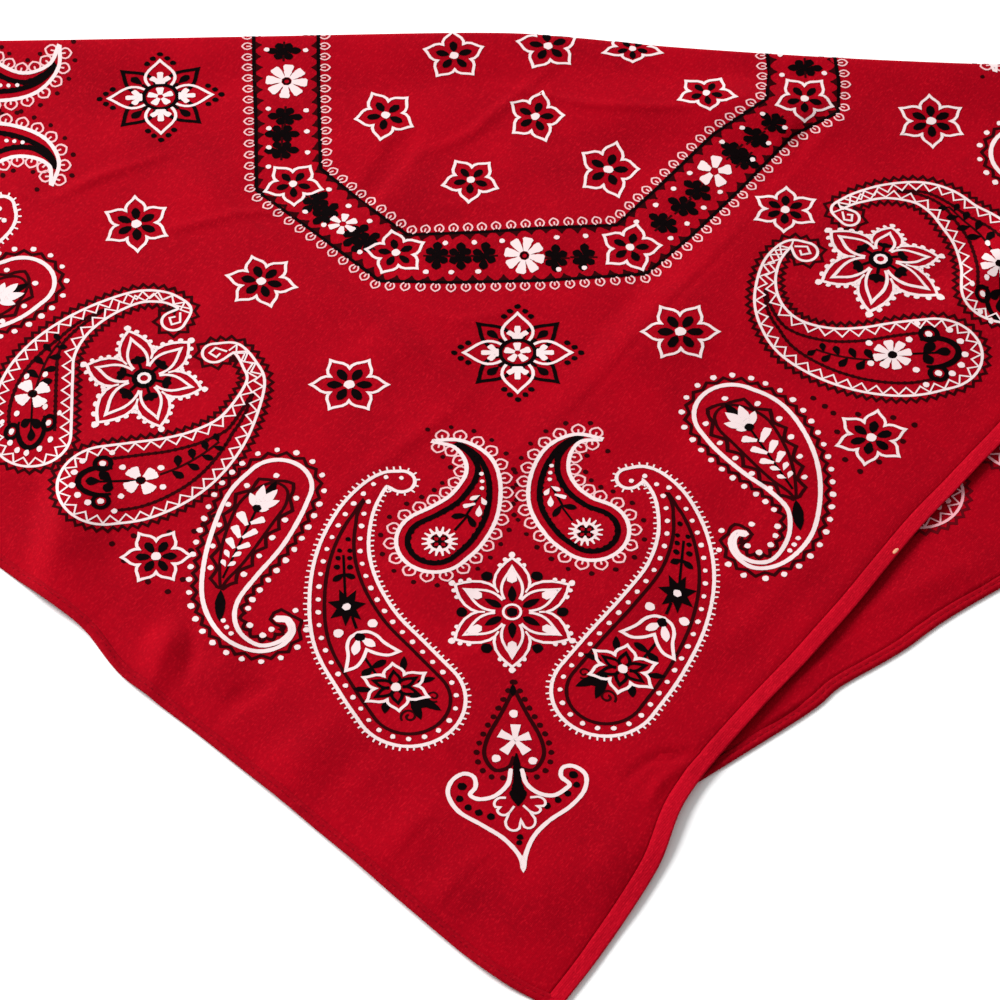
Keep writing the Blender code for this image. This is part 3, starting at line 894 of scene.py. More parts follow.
# Stitches of the hems, and the slub, which is a thick place in a yarn:
# (distance in from the edge, pitch, length, height over the solid's lower face, width, thickness)
HEM_STITCH = (2.25, 2.5, 1.7, 0.92, 0.42, 0.22)
SLUB_STITCH = (0.0, 3.4, 2.9, 1.35, 1.5, 0.3)
# Along a stitch: (share of its length, share of its girth), and round it: (share across, share up)
STITCH_ALONG = ((0.0, 0.25), (0.2, 0.85), (0.5, 1.0), (0.8, 0.85), (1.0, 0.25))
STITCH_ROUND = ((-0.5, 0.0), (-0.3, 0.8), (0.3, 0.8), (0.5, 0.0))
STITCH_START = 0.3
STITCH_SINK = 0.05


def stitch_points(line, inward, height_of, sizes):
    """Short raised stitches along a line, as points and quads: each a small lozenge bar."""
    inset, pitch, length, lift, width, tall = sizes
    total = lengths(line)[-1]
    starts = np.arange(int(total / pitch)) * pitch + pitch * STITCH_START
    points, quads = [], []
    shares, girth = np.array(STITCH_ALONG).T
    guide = line + left_normals(line) * inward * inset
    guide_length = lengths(guide)[-1]
    for start in starts:
        size = length * RANDOM.uniform(0.88, 1.12)
        sway = RANDOM.uniform(-0.06, 0.06)
        middle = at_lengths(guide, (start + shares * size) * guide_length / total)
        side = left_normals(middle)
        middle = middle + side * sway
        base = height_of(middle) + lift
        ring = []
        for across, up in STITCH_ROUND:
            plan = middle + side * (across * width * girth)[:, None]
            ring.append(with_height(plan, base + up * tall * girth - STITCH_SINK))
        ring = np.stack(ring, axis=1)
        first = len(points) * 20
        points.append(ring.reshape(-1, 3))
        quads.append(grid_quads(5, 4) + first)
        quads.append(np.array([(j + 3, j, j + 4, j + 7) for j in (0, 4, 8, 12)]) + first)
        quads.append(np.array([(0, 1, 2, 3), (19, 18, 17, 16)]) + first)
    return np.concatenate(points), np.concatenate(quads)


def level(plan):
    return np.zeros(plan.shape[:-1])


# Sides of the panels: (bottom, left, right, top)
FLAP_SIDES = ("front_hem", "front_selvedge_right", "front_selvedge_left", "roll")
BACK_SIDES = ("back_hem", "back_selvedge_left", "back_selvedge_right", "roll")
# Strips: (name, its edge, the edges where it starts and ends, how far it curls up)
STRIPS = (
    ("flap_hem", "front_hem", "front_selvedge_right", "front_selvedge_left", 0.0),
    ("back_hem_strip", "back_hem", "back_selvedge_left", "back_selvedge_right", 0.0),
    ("flap_selvedge", "front_selvedge_right", "front_hem", "roll", SELVEDGE_CURL),
    ("flap_selvedge_left", "front_selvedge_left", "front_hem", "roll", 0.0),
    ("back_selvedge", "back_selvedge_right", "back_hem", "roll", 0.0),
    ("back_selvedge_hidden", "back_selvedge_left", "back_hem", "roll", 0.0),
)


def build_cloth(materials):
    """All pieces of cloth. Returns them by name, with trees of the flap's and the back's faces."""
    free, panel = edge_lines()
    made, trees = {}, []
    for name, sides, size, faces_of in (
        ("flap_cloth", FLAP_SIDES, FLAP_GRID, flap_faces),
        ("back_cloth", BACK_SIDES, BACK_GRID, back_faces),
    ):
        over, under = faces_of(panel_plan(panel, *sides, *size))
        made[name] = shell_piece(name, over, under, materials["cloth"])
        trees.append(tree_of(over))
    lines = {}
    for name, edge, first, last, curl in STRIPS:
        lines[edge] = clipped(free[edge], free[first], free[last])
        section = HEM_SECTION if "hem" in edge else SELVEDGE_SECTION
        height_of = flap_underside if "front" in edge else level
        rolls = name.startswith("flap_selvedge")
        rings = edge_rings(lines[edge], INWARD[edge], section, height_of, curl, rolls)
        made[name] = sweep_piece(name, rings, materials["hem" if "hem" in edge else "selvedge"])
    for name, edge, height_of in (
        ("flap_hem_stitches", "front_hem", flap_underside),
        ("back_hem_stitches", "back_hem", level),
    ):
        line = resampled(lines[edge], STITCH_LINE_POINTS)
        points, quads = stitch_points(line, INWARD[edge], height_of, HEM_STITCH)
        made[name] = mesh_piece(name, points, quads, materials["thread"])
    points, quads = stitch_points(np.array(SLUB_LINE), 1, flap_underside, SLUB_STITCH)
    made["flap_slub"] = mesh_piece("flap_slub", points, quads, materials["slub"])
    return made, *trees


def tree_of(grid):
    rows, columns = grid.shape[:2]
    points = [Vector(p) for p in grid.reshape(-1, 3)]
    return BVHTree.FromPolygons(points, grid_quads(rows, columns).tolist())


for old in list(bpy.data.objects):
    bpy.data.objects.remove(old)
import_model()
build_stage()
# Materials of cloth: (name, darker and lighter colour, pitch of the threads, height of the bumps)
CLOTH_LOOKS = {
    "cloth": ("red_cotton", (124, 0, 14), (156, 0, 18), THREAD_PITCH, 0.05),
    "hem": ("hem_cotton", (118, 0, 13), (150, 1, 18), THREAD_PITCH, 0.05),
    "selvedge": ("selvedge_cotton", (134, 1, 17), (170, 5, 27), 0.7, 0.12),
    "thread": ("hem_thread", (92, 1, 12), (136, 5, 20), 0.3, 0.03),
    "slub": ("slub_cotton", (190, 130, 100), (226, 176, 140), 0.3, 0.03),
}
# Colours of ink on the face of the cloth, and on its reverse
INK_COLOURS = {
    "white": ((216, 196, 196), (226, 160, 168)),
    "black": ((5, 0, 1), (64, 4, 14)),
    "dark": ((40, 0, 3), (84, 4, 14)),
    "pale": ((214, 168, 170), (204, 128, 138)),
}
MATERIALS = {}
for look, (name, dark, light, pitch, relief) in CLOTH_LOOKS.items():
    MATERIALS[look] = cloth_material(name, srgb(*dark), srgb(*light), pitch, relief)
for ink, (face, reverse) in INK_COLOURS.items():
    MATERIALS[ink] = ink_material(f"{ink}_ink", srgb(*face))
    MATERIALS[f"{ink}_back"] = ink_material(f"{ink}_ink_reverse", srgb(*reverse))
CLOTH, FLAP_TREE, BACK_TREE = build_cloth(MATERIALS)


# Print: the tools that draw with ink


def turned(angle, stretch=(1.0, 1.0)):
    """A turn by degrees after a stretch, as a matrix."""
    c, s = math.cos(math.radians(angle)), math.sin(math.radians(angle))
    return np.array(((c, -s), (s, c))) @ np.diag(stretch)


def mirrored(angle):
    """Reflection in a line at that many degrees."""
    return turned(angle) @ np.diag((1.0, -1.0)) @ turned(-angle)


def closed_path(points):
    return np.vstack([points, points[:1]])


def subdivided(path, step):
    """The same path with points added so that none of its stretches is longer than the step."""
    gaps = np.linalg.norm(np.diff(path[:, :2], axis=0), axis=1)
    out = []
    for start, end, gap in zip(path[:-1], path[1:], gaps):
        count = max(1, math.ceil(gap / step))
        out.append(start + (end - start) * (np.arange(count) / count)[:, None])
    out.append(path[-1:])
    return np.vstack(out)


def moved(matrix, about, to):
    """The matrix, and the move that takes one point to another after it."""
    return matrix, np.array(to) - matrix @ np.array(about)


def carried(theirs, mine):
    """The matrix and the move that carry three points to three others."""
    theirs, mine = np.array(theirs), np.array(mine)
    matrix = np.linalg.solve(theirs[1:] - theirs[0], mine[1:] - mine[0]).T
    return moved(matrix, theirs[0], mine[0])


def strip_faces(count, closed):
    """Triangles between one line of points and a second one that follows it."""
    i = np.arange(count if closed else count - 1)
    j = (i + 1) % count
    first, second = (i, i + count, j), (j, i + count, j + count)
    return np.vstack([np.stack(first, axis=1), np.stack(second, axis=1)])


class Pen:
    """Collects the ink of one group of motifs, on one stretch of the cloth."""

    def __init__(self, name, stretch):
        self.name = name
        self.stretch = stretch
        self.inks = {ink: ([], []) for ink in INK_LIFT}
        self.counts = dict.fromkeys(INK_LIFT, 0)
        self.frames = []

    @contextmanager
    def bent(self, bend):
        """What is drawn inside has its points moved by that function."""
        self.frames.append(bend)
        yield
        self.frames.pop()

    def placed(self, matrix, move):
        """What is drawn inside is turned by the matrix and then moved."""
        return self.bent(lambda points: points @ matrix.T + move)

    def add(self, ink, points, faces):
        for bend in reversed(self.frames):
            points = bend(points)
        self.inks[ink][0].append(points)
        self.inks[ink][1].append(np.asarray(faces, int) + self.counts[ink])
        self.counts[ink] += len(points)

    def ribbon(self, ink, path, width=None, closed=False, ends=False):
        """A stroke along a path. The path's third column, if it has one, is the stroke's width."""
        path = np.asarray(path, float)
        if path.shape[1] == 2:
            path = np.hstack([path, np.full((len(path), 1), width)])
        if ends and not closed:
            self.dot(ink, path[0, 0], path[0, 1], path[0, 2] / 2, 8, 0.0)
            self.dot(ink, path[-1, 0], path[-1, 1], path[-1, 2] / 2, 8, 0.0)
        path = subdivided(closed_path(path) if closed else path, INK_STEP)
        path = path[:-1] if closed else path
        before, after = np.roll(path, 1, axis=0)[:, :2], np.roll(path, -1, axis=0)[:, :2]
        a, b = path[:, :2] - before, after - path[:, :2]
        if not closed:
            a[0], b[-1] = b[0], a[-1]
        b = units(b)
        mean = units(a) + b
        size = np.linalg.norm(mean, axis=1)
        mean = np.where(size[:, None] > SHARPEST_TURN, units(mean), b)
        side = np.stack([-mean[:, 1], mean[:, 0]], axis=1)
        turn = np.clip(mean[:, 0] * b[:, 0] + mean[:, 1] * b[:, 1], 1 / MITRE_LIMIT, 1)
        uneven = 1 + STROKE_UNEVEN * RANDOM.standard_normal(len(path)).clip(-2, 2)
        reach = side * (path[:, 2] / 2 / turn * uneven)[:, None]
        points = np.vstack([path[:, :2] + reach, path[:, :2] - reach])
        self.add(ink, points, strip_faces(len(path), closed))

    def dot(self, ink, x, y, radius, sides=10, uneven=DOT_UNEVEN):
        angles = np.arange(sides) * 2 * math.pi / sides + RANDOM.uniform(0, 1)
        reach = radius * (1 + uneven * RANDOM.standard_normal(sides).clip(-1.5, 1.5))
        ring = np.stack([x + reach * np.cos(angles), y + reach * np.sin(angles)], axis=1)
        i = np.arange(sides)
        faces = np.stack([np.zeros(sides, int), i + 1, (i + 1) % sides + 1], axis=1)
        self.add(ink, np.vstack([[(x, y)], ring]), faces)

    def petal(self, ink, x, y, angle, length, widths):
        """A solid shape from a point out at that many degrees. widths are (share, width) rows."""
        shares, across = np.array(widths).T
        t = np.linspace(0, 1, 9)
        across = np.interp(t, shares, across)
        way = np.array((math.cos(math.radians(angle)), math.sin(math.radians(angle))))
        path = np.array((x, y)) + length * t[:, None] * way
        self.ribbon(ink, np.hstack([path, across[:, None]]))

    def leaf(self, ink, x, y, angle, length, width, belly=0.5, fullness=0.8):
        """A solid leaf that starts at a point and runs out at that many degrees."""
        t = np.linspace(0, 1, 9)
        power = math.log(0.5) / math.log(belly)
        across = np.maximum(np.sin(math.pi * t**power), 0.0) ** fullness
        self.petal(ink, x, y, angle, length, list(zip(t, width * np.maximum(across, 0.03))))

    def wedge(self, ink, x, y, angle, length, width, base=0.45):
        """A petal that widens outwards to a blunt end. base is its share of width at the start."""
        rows = ((0.0, base), (0.55, 0.72 + 0.28 * base), (0.85, 1.0), (0.96, 0.9), (1.0, 0.7))
        self.petal(ink, x, y, angle, length, [(share, size * width) for share, size in rows])

    def drop(self, ink, x, y, angle, length, width):
        """A petal with a round end and a pointed start."""
        self.leaf(ink, x, y, angle, length, width, 0.64, 0.7)

    def ring(self, ink, x, y, radius, width):
        step = 360 / max(10, round(radius * 6))
        self.ribbon(ink, polar(x, y, radius, np.arange(0, 359.9, step)), width, closed=True)

    def shape(self, ink, points):
        """A filled shape that can be seen whole from its middle."""
        points = np.asarray(points, float)
        middle = points.mean(axis=0)
        ring = subdivided(closed_path(points), INK_STEP)[:-1]
        count = len(ring)
        inner = middle + (ring - middle) * 0.5
        i = np.arange(count) + count
        core = np.stack([i, np.full(count, 2 * count), np.roll(i, -1)], axis=1)
        faces = np.vstack([strip_faces(count, True), core])
        self.add(ink, np.vstack([ring, inner, [middle]]), faces)

    def chart(self, rows):
        """Draws dots (ink, x, y, radius) and others (kind, ink, x, y, angle, length, width)."""
        for row in rows:
            if len(row) == 4:
                self.dot(*row, 12 if row[3] > 1 else 9)
                continue
            kind, ink, x, y, angle, length, width = row
            if kind == "line":
                self.ribbon(ink, np.array(((x, y), polar(x, y, length, angle))), width)
            else:
                getattr(self, kind)(ink, x, y, angle, length, width)


def polar(x, y, radius, degrees):
    angle = np.radians(degrees)
    return np.stack([x + radius * np.cos(angle), y + radius * np.sin(angle)], axis=-1)


def spokes(count, turn=0.0):
    """Degrees of that many spokes, evenly round a middle."""
    return [turn + 360 * k / count for k in range(count)]


# Print: paisleys, drawn round a bent line of circles whose radii shrink towards the tail


# How far from its end a line inside a paisley begins to run to a point
TAPER = 12.0
# Spacing of the points of its middle line, and the least radius that its outline keeps
SPINE_STEP = 0.6
LEAST_RADIUS = 0.15


class Spine:
    """The middle line of a paisley. Rows are (x, y, radius) from its head to its tail."""

    def __init__(self, rows):
        curve = dense_curve(rows)
        self.curve = resampled(curve, int(lengths(curve)[-1] / SPINE_STEP) + 2)
        self.along = lengths(self.curve)
        self.normals = left_normals(self.curve)
        self.ways = np.stack([self.normals[:, 1], -self.normals[:, 0]], axis=1)

    def at(self, distance, aside=0.0):
        """(x, y, angle): a place that far from the head along the middle line, and to its left."""
        place = np.clip(distance, 0, self.along[-1])
        row = [np.interp(place, self.along, column) for column in self.curve.T[:2]]
        way = np.array([np.interp(place, self.along, column) for column in self.ways.T])
        way /= np.linalg.norm(way)
        point = np.array(row) + way * (distance - place) + aside * np.array((-way[1], way[0]))
        return point[0], point[1], math.degrees(math.atan2(way[1], way[0]))

    def outline(self, inset=0.0, share=1.0, tail=None, step=0.7):
        """The closed line round the circles, each made smaller by the inset, anticlockwise.

        The inset is at most that share of the circle, and the line can run to a point at tail.
        """
        radius = self.curve[:, 2] - np.minimum(inset, share * self.curve[:, 2])
        if tail is not None:
            radius *= np.clip((tail - self.along) / TAPER, 0.0, 1.0)
        small = np.flatnonzero(radius < LEAST_RADIUS)
        last = small[0] if len(small) else len(radius)
        radius, points = radius[:last], self.curve[:last, :2]
        slope = np.clip(np.gradient(radius, self.along[:last]), -0.9, 0.9)
        ahead = -(radius * slope)[:, None] * self.ways[:last]
        aside = (radius * np.sqrt(1 - slope**2))[:, None] * self.normals[:last]
        left, right = points + ahead + aside, points + ahead - aside
        head = arc(points[0], left[0], right[0], step)
        tail = arc(points[-1], right[-1], left[-1], step)
        ring = np.vstack([left[::-1], head, right, tail])
        keep = np.linalg.norm(np.diff(closed_path(ring), axis=0), axis=1) > 1e-4
        ring = closed_path(ring[keep])
        return resampled(ring, max(8, int(lengths(ring)[-1] / step)))[:-1]

    def like(self, other, side, reach):
        """The matrix and the move that carry what lies in another paisley's head into this one.

        side is -1 where the two are mirror images. reach is how far along them they are matched.
        """
        size = self.curve[0, 2] / other.curve[0, 2]
        shares = np.linspace(0, 1, 6)
        grid = [(share * reach, aside) for share in shares for aside in (-8.0, 0.0, 8.0)]
        mine = np.array([self.at(d * size, side * aside * size)[:2] for d, aside in grid])
        theirs = np.array([(*other.at(d, aside)[:2], 1.0) for d, aside in grid])
        fit = np.linalg.lstsq(theirs, mine, rcond=None)[0]
        return fit[:2].T, fit[2]


def arc(centre, start, end, step):
    """Points anticlockwise on a circle from start to end, without either."""
    first = math.atan2(*(start - centre)[::-1])
    last = math.atan2(*(end - centre)[::-1])
    if last < first:
        last += 2 * math.pi
    radius = np.linalg.norm(start - centre)
    count = max(1, int(radius * (last - first) / step))
    angles = np.linspace(first, last, count + 2)[1:-1]
    return centre + radius * np.stack([np.cos(angles), np.sin(angles)], axis=1)


def outward_of(ring):
    """Outward normals of a closed line that runs anticlockwise."""
    tangents = units(np.roll(ring, -1, axis=0) - np.roll(ring, 1, axis=0))
    return np.stack([tangents[:, 1], -tangents[:, 0]], axis=1)


def spaced(ring, pitch, start=0.0):
    """(points, outward normals) at equal distances round a closed line."""
    whole = np.hstack([ring, outward_of(ring)])
    whole = closed_path(whole)
    total = lengths(whole)[-1]
    count = max(3, round(total / pitch))
    rows = at_lengths(whole, (np.arange(count) + start) * total / count)
    return rows[:, :2], units(rows[:, 2:])


def ticks(pen, ink, ring, pitch, near, far, width):
    points, normals = spaced(ring, pitch)
    for point, normal in zip(points, normals):
        lean = RANDOM.uniform(-0.15, 0.15) * np.array((-normal[1], normal[0]))
        end = point + (normal + lean) * far * RANDOM.uniform(0.85, 1.1)
        start = point + normal * near
        pen.ribbon(ink, ((*start, width), (*end, width * 0.75)))


def apart(points, gap):
    """The points without those that come nearer than the gap to one already kept."""
    kept = []
    for point in points:
        if all(np.linalg.norm(point - other) >= gap for other in kept):
            kept.append(point)
    return np.array(kept)


def dots(pen, ink, ring, pitch, offset, radius, start=0.0):
    points, normals = spaced(ring, pitch, start)
    for x, y in apart(points + normals * offset, 0.62 * pitch):
        size = radius * RANDOM.uniform(0.9, 1.08)
        pen.dot(ink, x, y, size, 9 if radius < 1 else 11)


def zigzag(pen, ink, ring, pitch, near, far, width, clear=(0.0, 0.0, 0.0)):
    """A line to and fro along a ring, left open within clear, a circle (x, y, radius)."""
    points, normals = spaced(ring, pitch / 2)
    if len(points) % 2:
        points, normals = spaced(ring, lengths(closed_path(ring))[-1] / (len(points) + 1))
    offsets = np.where(np.arange(len(points)) % 2 == 0, near, far)[:, None]
    outside = np.flatnonzero(np.linalg.norm(points - clear[:2], axis=1) >= clear[2])
    kept = slice(outside[0], outside[-1] + 1)
    path = (points + normals * offsets)[kept]
    pen.ribbon(ink, path, width, closed=len(path) == len(points))


def waves(pen, ink, ring, pitch, near, far, width):
    """A line of points with round valleys between them. Returns the valleys' (points, normals)."""
    total = lengths(closed_path(ring))[-1]
    count = max(3, round(total / pitch))
    points, normals = spaced(ring, total / (count * 8))
    rise = (1 - np.abs(np.arange(len(points)) % 8 / 4 - 1)) ** 1.3
    line = points + normals * (near + (far - near) * rise)[:, None]
    pen.ribbon(ink, line, width, closed=True)
    return points[::8], normals[::8]


LOOP_SIDE = ((0.75, 0.1), (1.4, 0.85), (1.65, 1.75), (1.4, 2.65), (0.75, 3.3), (0.0, 3.75))


def loop(pen, x, y, normal, size, stick, spread=1.0):
    """A small pointed loop that stands on a line, with a short stick in it."""
    side = np.array((normal[1], -normal[0])) * spread
    rows = np.array(LOOP_SIDE)
    rows = np.vstack([rows, rows[-2::-1] * (-1, 1)])
    rows[:, 0] += RANDOM.uniform(-0.15, 0.15)
    path = np.array((x, y)) + size * (rows[:, :1] * side + rows[:, 1:] * normal)
    pen.ribbon("pale", path, 0.6 * size)
    start = np.array((x, y)) + size * 0.4 * normal
    pen.ribbon("pale", (start, start + size * stick * normal), 0.6 * size)


# Print: flowers


# Half of a petal's edge, from the valley beside it to its tip: (share of the way, reach)
SOFT_PETAL = ((1.0, 0.61), (0.84, 0.72), (0.58, 0.82), (0.32, 0.89), (0.14, 0.96), (0.0, 1.06))
FULL_PETAL = ((1.0, 0.52), (0.88, 0.615), (0.66, 0.73), (0.42, 0.83), (0.20, 0.918), (0.0, 1.0))


# Beads beside a petal's outline: (share of the way to the valley, reach)
BEADS = ((0.25, 0.95), (0.50, 0.84), (0.73, 0.745), (0.92, 0.64))
FEW_BEADS = ((0.20, 0.97), (0.40, 0.88))


def petal_ring(edge, points, turn=0.0):
    """The closed outline of a flower, one unit in radius."""
    half = 180.0 / points
    ring = []
    for tip in spokes(points, turn):
        ring += [polar(0, 0, out, tip - share * half) for share, out in edge]
        ring += [polar(0, 0, out, tip + share * half) for share, out in edge[-2:0:-1]]
    return np.array(ring)


# Dots round a star flower, from its middle
HALO = (
    (-17.6, 15.8), (-14.1, 12.5), (-11.5, 9.8), (-3.7, 9.3), (7.3, 8.0), (13.9, 5.0), (-10.7, 2.3),
    (9.9, -1.5), (-8.6, -8.7), (2.1, -9.6), (-4.1, -13.4),
)


def star_flower(pen, x, y, reach, points, turn, halo=0):
    """A white pointed outline, black petals and a white middle. reach is (across, up).

    halo is 1 for dots round it, -1 for the same dots in a mirror, and 0 for none.
    """
    size = sum(reach) / 2
    pen.ribbon("white", petal_ring(SOFT_PETAL, points, turn) * reach + (x, y), 0.95, closed=True)
    for tip in spokes(points, turn):
        base = polar(0, 0, 0.175, tip) * reach + (x, y)
        pen.leaf("black", base[0], base[1], tip, 0.47 * size, 0.275 * size, 0.55, 0.55)
    pen.dot("white_over", x, y, 0.155 * size, 12)
    if halo:
        for across, up in HALO:
            pen.dot("dark", x + halo * across, y + up, 1.0)


def daisy(pen, x, y, reach, petals, turn):
    """Blunt white petals round a dark middle. reach is (across, up)."""
    size = sum(reach) / 2
    fullness = 4.1 if petals > 6 else 3.3
    with pen.placed(np.diag(reach) / size, (x, y)):
        for angle in spokes(petals, turn):
            base = polar(0, 0, 0.24 * size, angle)
            pen.wedge("white", *base, angle, 0.76 * size, fullness * size / petals, 0.4)
        if petals > 6:
            pen.ring("black", 0, 0, 0.17 * size, 0.09 * size)


# One side of a pointed petal: (share of its length, share of its half width)
PETAL_SIDE = (
    (0.0, 0.72), (0.15, 0.92), (0.32, 1.0), (0.5, 0.9), (0.68, 0.62), (0.85, 0.27), (1.0, 0.0),
)


def petal_line(x, y, angle, start, length, half_width):
    """An open line up one side of a pointed petal and down the other."""
    one = np.array(PETAL_SIDE) * (length, half_width) + (start, 0)
    count = max(6, int(length / 1.1))
    one, other = [resampled(dense_curve(side), count) for side in (one, one[::-1] * (1, -1))]
    return np.vstack([one, other[1:]]) @ turned(angle).T + (x, y)


def bloom(pen, x, y, angle, size):
    """A small white flower from the side: three blunt petals."""
    for side, length in ((-52, 0.8), (52, 0.8), (0, 1.0)):
        pen.wedge("white", x, y, angle + side, length * size, 0.42 * size, 0.7)


QUATREFOIL_STRETCH = (1.0, 0.94)


def quatrefoil(pen, x, y, turn=0.0):
    """Four white petals with a bloom in each, four dark ones between them, and a ringed flower."""
    with pen.placed(turned(turn, QUATREFOIL_STRETCH), (x, y)):
        for angle in spokes(4):
            pen.ribbon("white", petal_line(0, 0, angle, 5.2, 12.0, 5.0), 1.0)
            bloom(pen, *polar(0, 0, 6.6, angle), angle, 5.0)
            pen.wedge("white", *polar(0, 0, 7.6, angle), angle + 180, 1.6, 3.4, 1.0)
            diagonal = angle + 45
            path = petal_line(0, 0, diagonal, 5.4, 12.4, 4.4)
            pen.ribbon("black", path, 1.3)
            seed = polar(0, 0, 8.4, diagonal)
            pen.drop("black", *seed, diagonal, 5.2, 2.9)
            pen.ribbon("black", (polar(0, 0, 5.4, diagonal), seed), 1.2)
            for side in (-2, -1, 0, 1, 2):
                pen.dot("black", *polar(0, 0, 20.2 - 1.9 * abs(side), angle + 7.6 * side), 1.05)
        pen.ring("black", 0, 0, 5.6, 1.35)
        for angle in spokes(5, 20):
            pen.wedge("white", *polar(0, 0, 0.9, angle), angle, 3.4, 2.6, 0.5)


# Petals of the beaded flowers, anticlockwise from the turn: (share of the reach, degrees aside)
EVEN_PETALS = ((1.0, 0),) * 6
LEFT_PETALS = ((1.0, 0), (1.06, 0), (1.07, 0), (1.02, -3), (1.2, 5), (1.08, 0))
RIGHT_PETALS = ((1.01, -15), (0.78, -5), (1.06, 4), (1.16, 9), (1.27, 1), (1.28, 0))


def uneven(petals, reach):
    """A function that draws petals out and turns them, least near the flower's middle."""
    tips = spokes(len(petals))

    def bend(points):
        angles = np.degrees(np.arctan2(points[:, 1], points[:, 0]))
        radii = np.hypot(points[:, 0], points[:, 1])
        shares, twists = [np.interp(angles, tips, row, period=360) for row in np.array(petals).T]
        part = np.clip(radii / (0.6 * reach), 0, 1)
        return polar(0, 0, radii * (1 + (shares - 1) * part), angles + twists * part)

    return bend


# Leaves in each petal: (ink, share of the reach where it starts, width as a share, belly)
LEAVES_IN_PETAL = (("white", 0.53, 0.15, 0.25), ("black", 0.185, 0.125, 0.42))


def beaded_flower(pen, x, y, reach, turn, seeds, petals=EVEN_PETALS):
    """Six petals with beads along their tips, a white one in each, and a ringed middle.

    With seeds the middle is dark and sends out stalks, and without them dark blobs lie outside.
    """
    size = sum(reach) / 2
    beads = BEADS if seeds else FEW_BEADS
    frame = pen.placed(np.diag(reach) / size @ turned(turn), (x, y))
    with frame, pen.bent(uneven(petals, size)):
        pen.ribbon("white", petal_ring(FULL_PETAL, 6) * size, 0.9, closed=True)
        for tip in spokes(6):
            valley = (polar(0, 0, 0.52 * size, tip + 30), polar(0, 0, 0.41 * size, tip + 30))
            pen.ribbon("white", valley, 0.7)
            pen.dot("white", *polar(0, 0, 1.055 * size, tip), 1.1)
            for share, out in beads:
                for side in (-30, 30):
                    pen.dot("white", *polar(0, 0, out * size, tip + side * share), 0.8, 9)
            pen.ribbon("white", petal_line(0, 0, tip, 0.23 * size, 0.6 * size, 0.162 * size), 0.88)
            if seeds:
                seed = polar(0, 0, 0.31 * size, tip)
                pen.ribbon("black", (polar(0, 0, 0.14 * size, tip), seed), 1.0)
                for side in (-42, 0, 42):
                    pen.drop("black", *seed, tip + side, 0.17 * size, 0.11 * size)
            else:
                for ink, start, width, belly in LEAVES_IN_PETAL:
                    base = polar(0, 0, start * size, tip)
                    pen.leaf(ink, *base, tip, 0.3 * size, width * size, belly)
                pen.dot("black", *polar(0, 0, 0.765 * size, tip + 30), 1.8, 11)
        if seeds:
            pen.ring("black", 0, 0, 0.155 * size, 1.9)
            pen.ring("white_over", 0, 0, 0.095 * size, 1.0)
        else:
            pen.ring("white", 0, 0, 0.135 * size, 0.78)
            pen.dot("black", 0, 0, 0.085 * size, 12)


# Print: what fills each kind of paisley


def curl(pen, x, y, radius, turn, width):
    """A small dark spiral, which runs in clockwise."""
    t = np.linspace(0, 1, 26)
    pen.ribbon("dark", polar(x, y, radius * (1 - 0.8 * t), turn - 470 * t), width)


BELL_SIDE = (
    (0.0, 0.0), (0.9, 2.9), (3.4, 4.9), (7.0, 6.1), (11.6, 8.8), (11.6, 5.4), (9.7, 2.4),
    (7.0, 0.0),
)


def bell(pen, x, y, angle, width):
    """A white open bloom with two long tails, from the top of its dome."""
    rows = np.array(BELL_SIDE)
    outer = dense_curve(rows[:5])[::10]
    inner = dense_curve(rows[4:])[::10]
    side = np.vstack([outer, inner[1:]])
    ring = np.vstack([side, side[-2:0:-1] * (1, -1)])
    pen.ribbon("white", ring @ turned(angle).T + (x, y), width, closed=True)


# What lies in a big paisley: (kind, ink, x, y, angle, length, width)
BIG_MARKS = (
    ("leaf", "black", -44.0, -71.6, 87, 5.8, 2.2),
    ("leaf", "black", -39.7, -75.3, 15, 5.7, 2.1),
    ("leaf", "black", -53.2, -78.3, 176, 6.0, 2.0),
    ("leaf", "black", -48.8, -82.0, -97, 5.0, 2.6),
    ("leaf", "black", -41.4, -79.9, -72, 9.8, 3.0),
    ("leaf", "black", -41.4, -80.1, -32, 10.8, 3.0),
    ("leaf", "black", -41.6, -80.0, -45, 6.6, 4.6),
    ("line", "black", -55.9, -66.0, -60, 8.6, 0.85),
    ("drop", "black", -54.2, -70.5, 32, 6.0, 2.5),
    ("drop", "black", -53.0, -69.7, -133, 5.0, 2.8),
    ("drop", "white", -57.6, -58.6, -101, 7.0, 2.7),
    ("drop", "white", -57.4, -58.7, -35, 6.0, 2.7),
    ("black_over", -57.3, -58.7, 1.6),
    ("line", "black", -59.8, -51.0, -73, 4.6, 0.9),
    ("white", -53.5, -53.5, 1.6), ("white", -63.9, -57.2, 1.55),
    ("line", "black", -62.1, -43.5, 93, 16.0, 0.8),
    ("drop", "black", -62.3, -34.4, -140, 4.9, 2.2),
    ("drop", "black", -62.9, -34.6, -24, 4.2, 2.2),
    ("black", -64.8, -32.1, 1.0), ("black", -60.8, -32.1, 1.0), ("black", -64.6, -28.7, 0.9),
    ("black", -61.0, -28.7, 0.9), ("black", -64.2, -25.8, 0.8), ("black", -61.0, -25.8, 0.8),
    ("black", -61.6, -21.4, 0.9),
)
BIG_FLOWER = (-46.1, -77.3, 10.2, 8.3)
BIG_STAR = (-61.6, -47.3)
BIG_BELL = (-58.0, -57.0, -66)
# Where the star, the flower and the white dot between them lie: in the marks above, and mirrored
BIG_FRAME = ((-61.6, -47.3), (-46.1, -77.3), (-53.5, -53.5))
BIG_RIGHT_FRAME = ((40.0, -42.2), (22.8, -70.5), (31.5, -47.2))


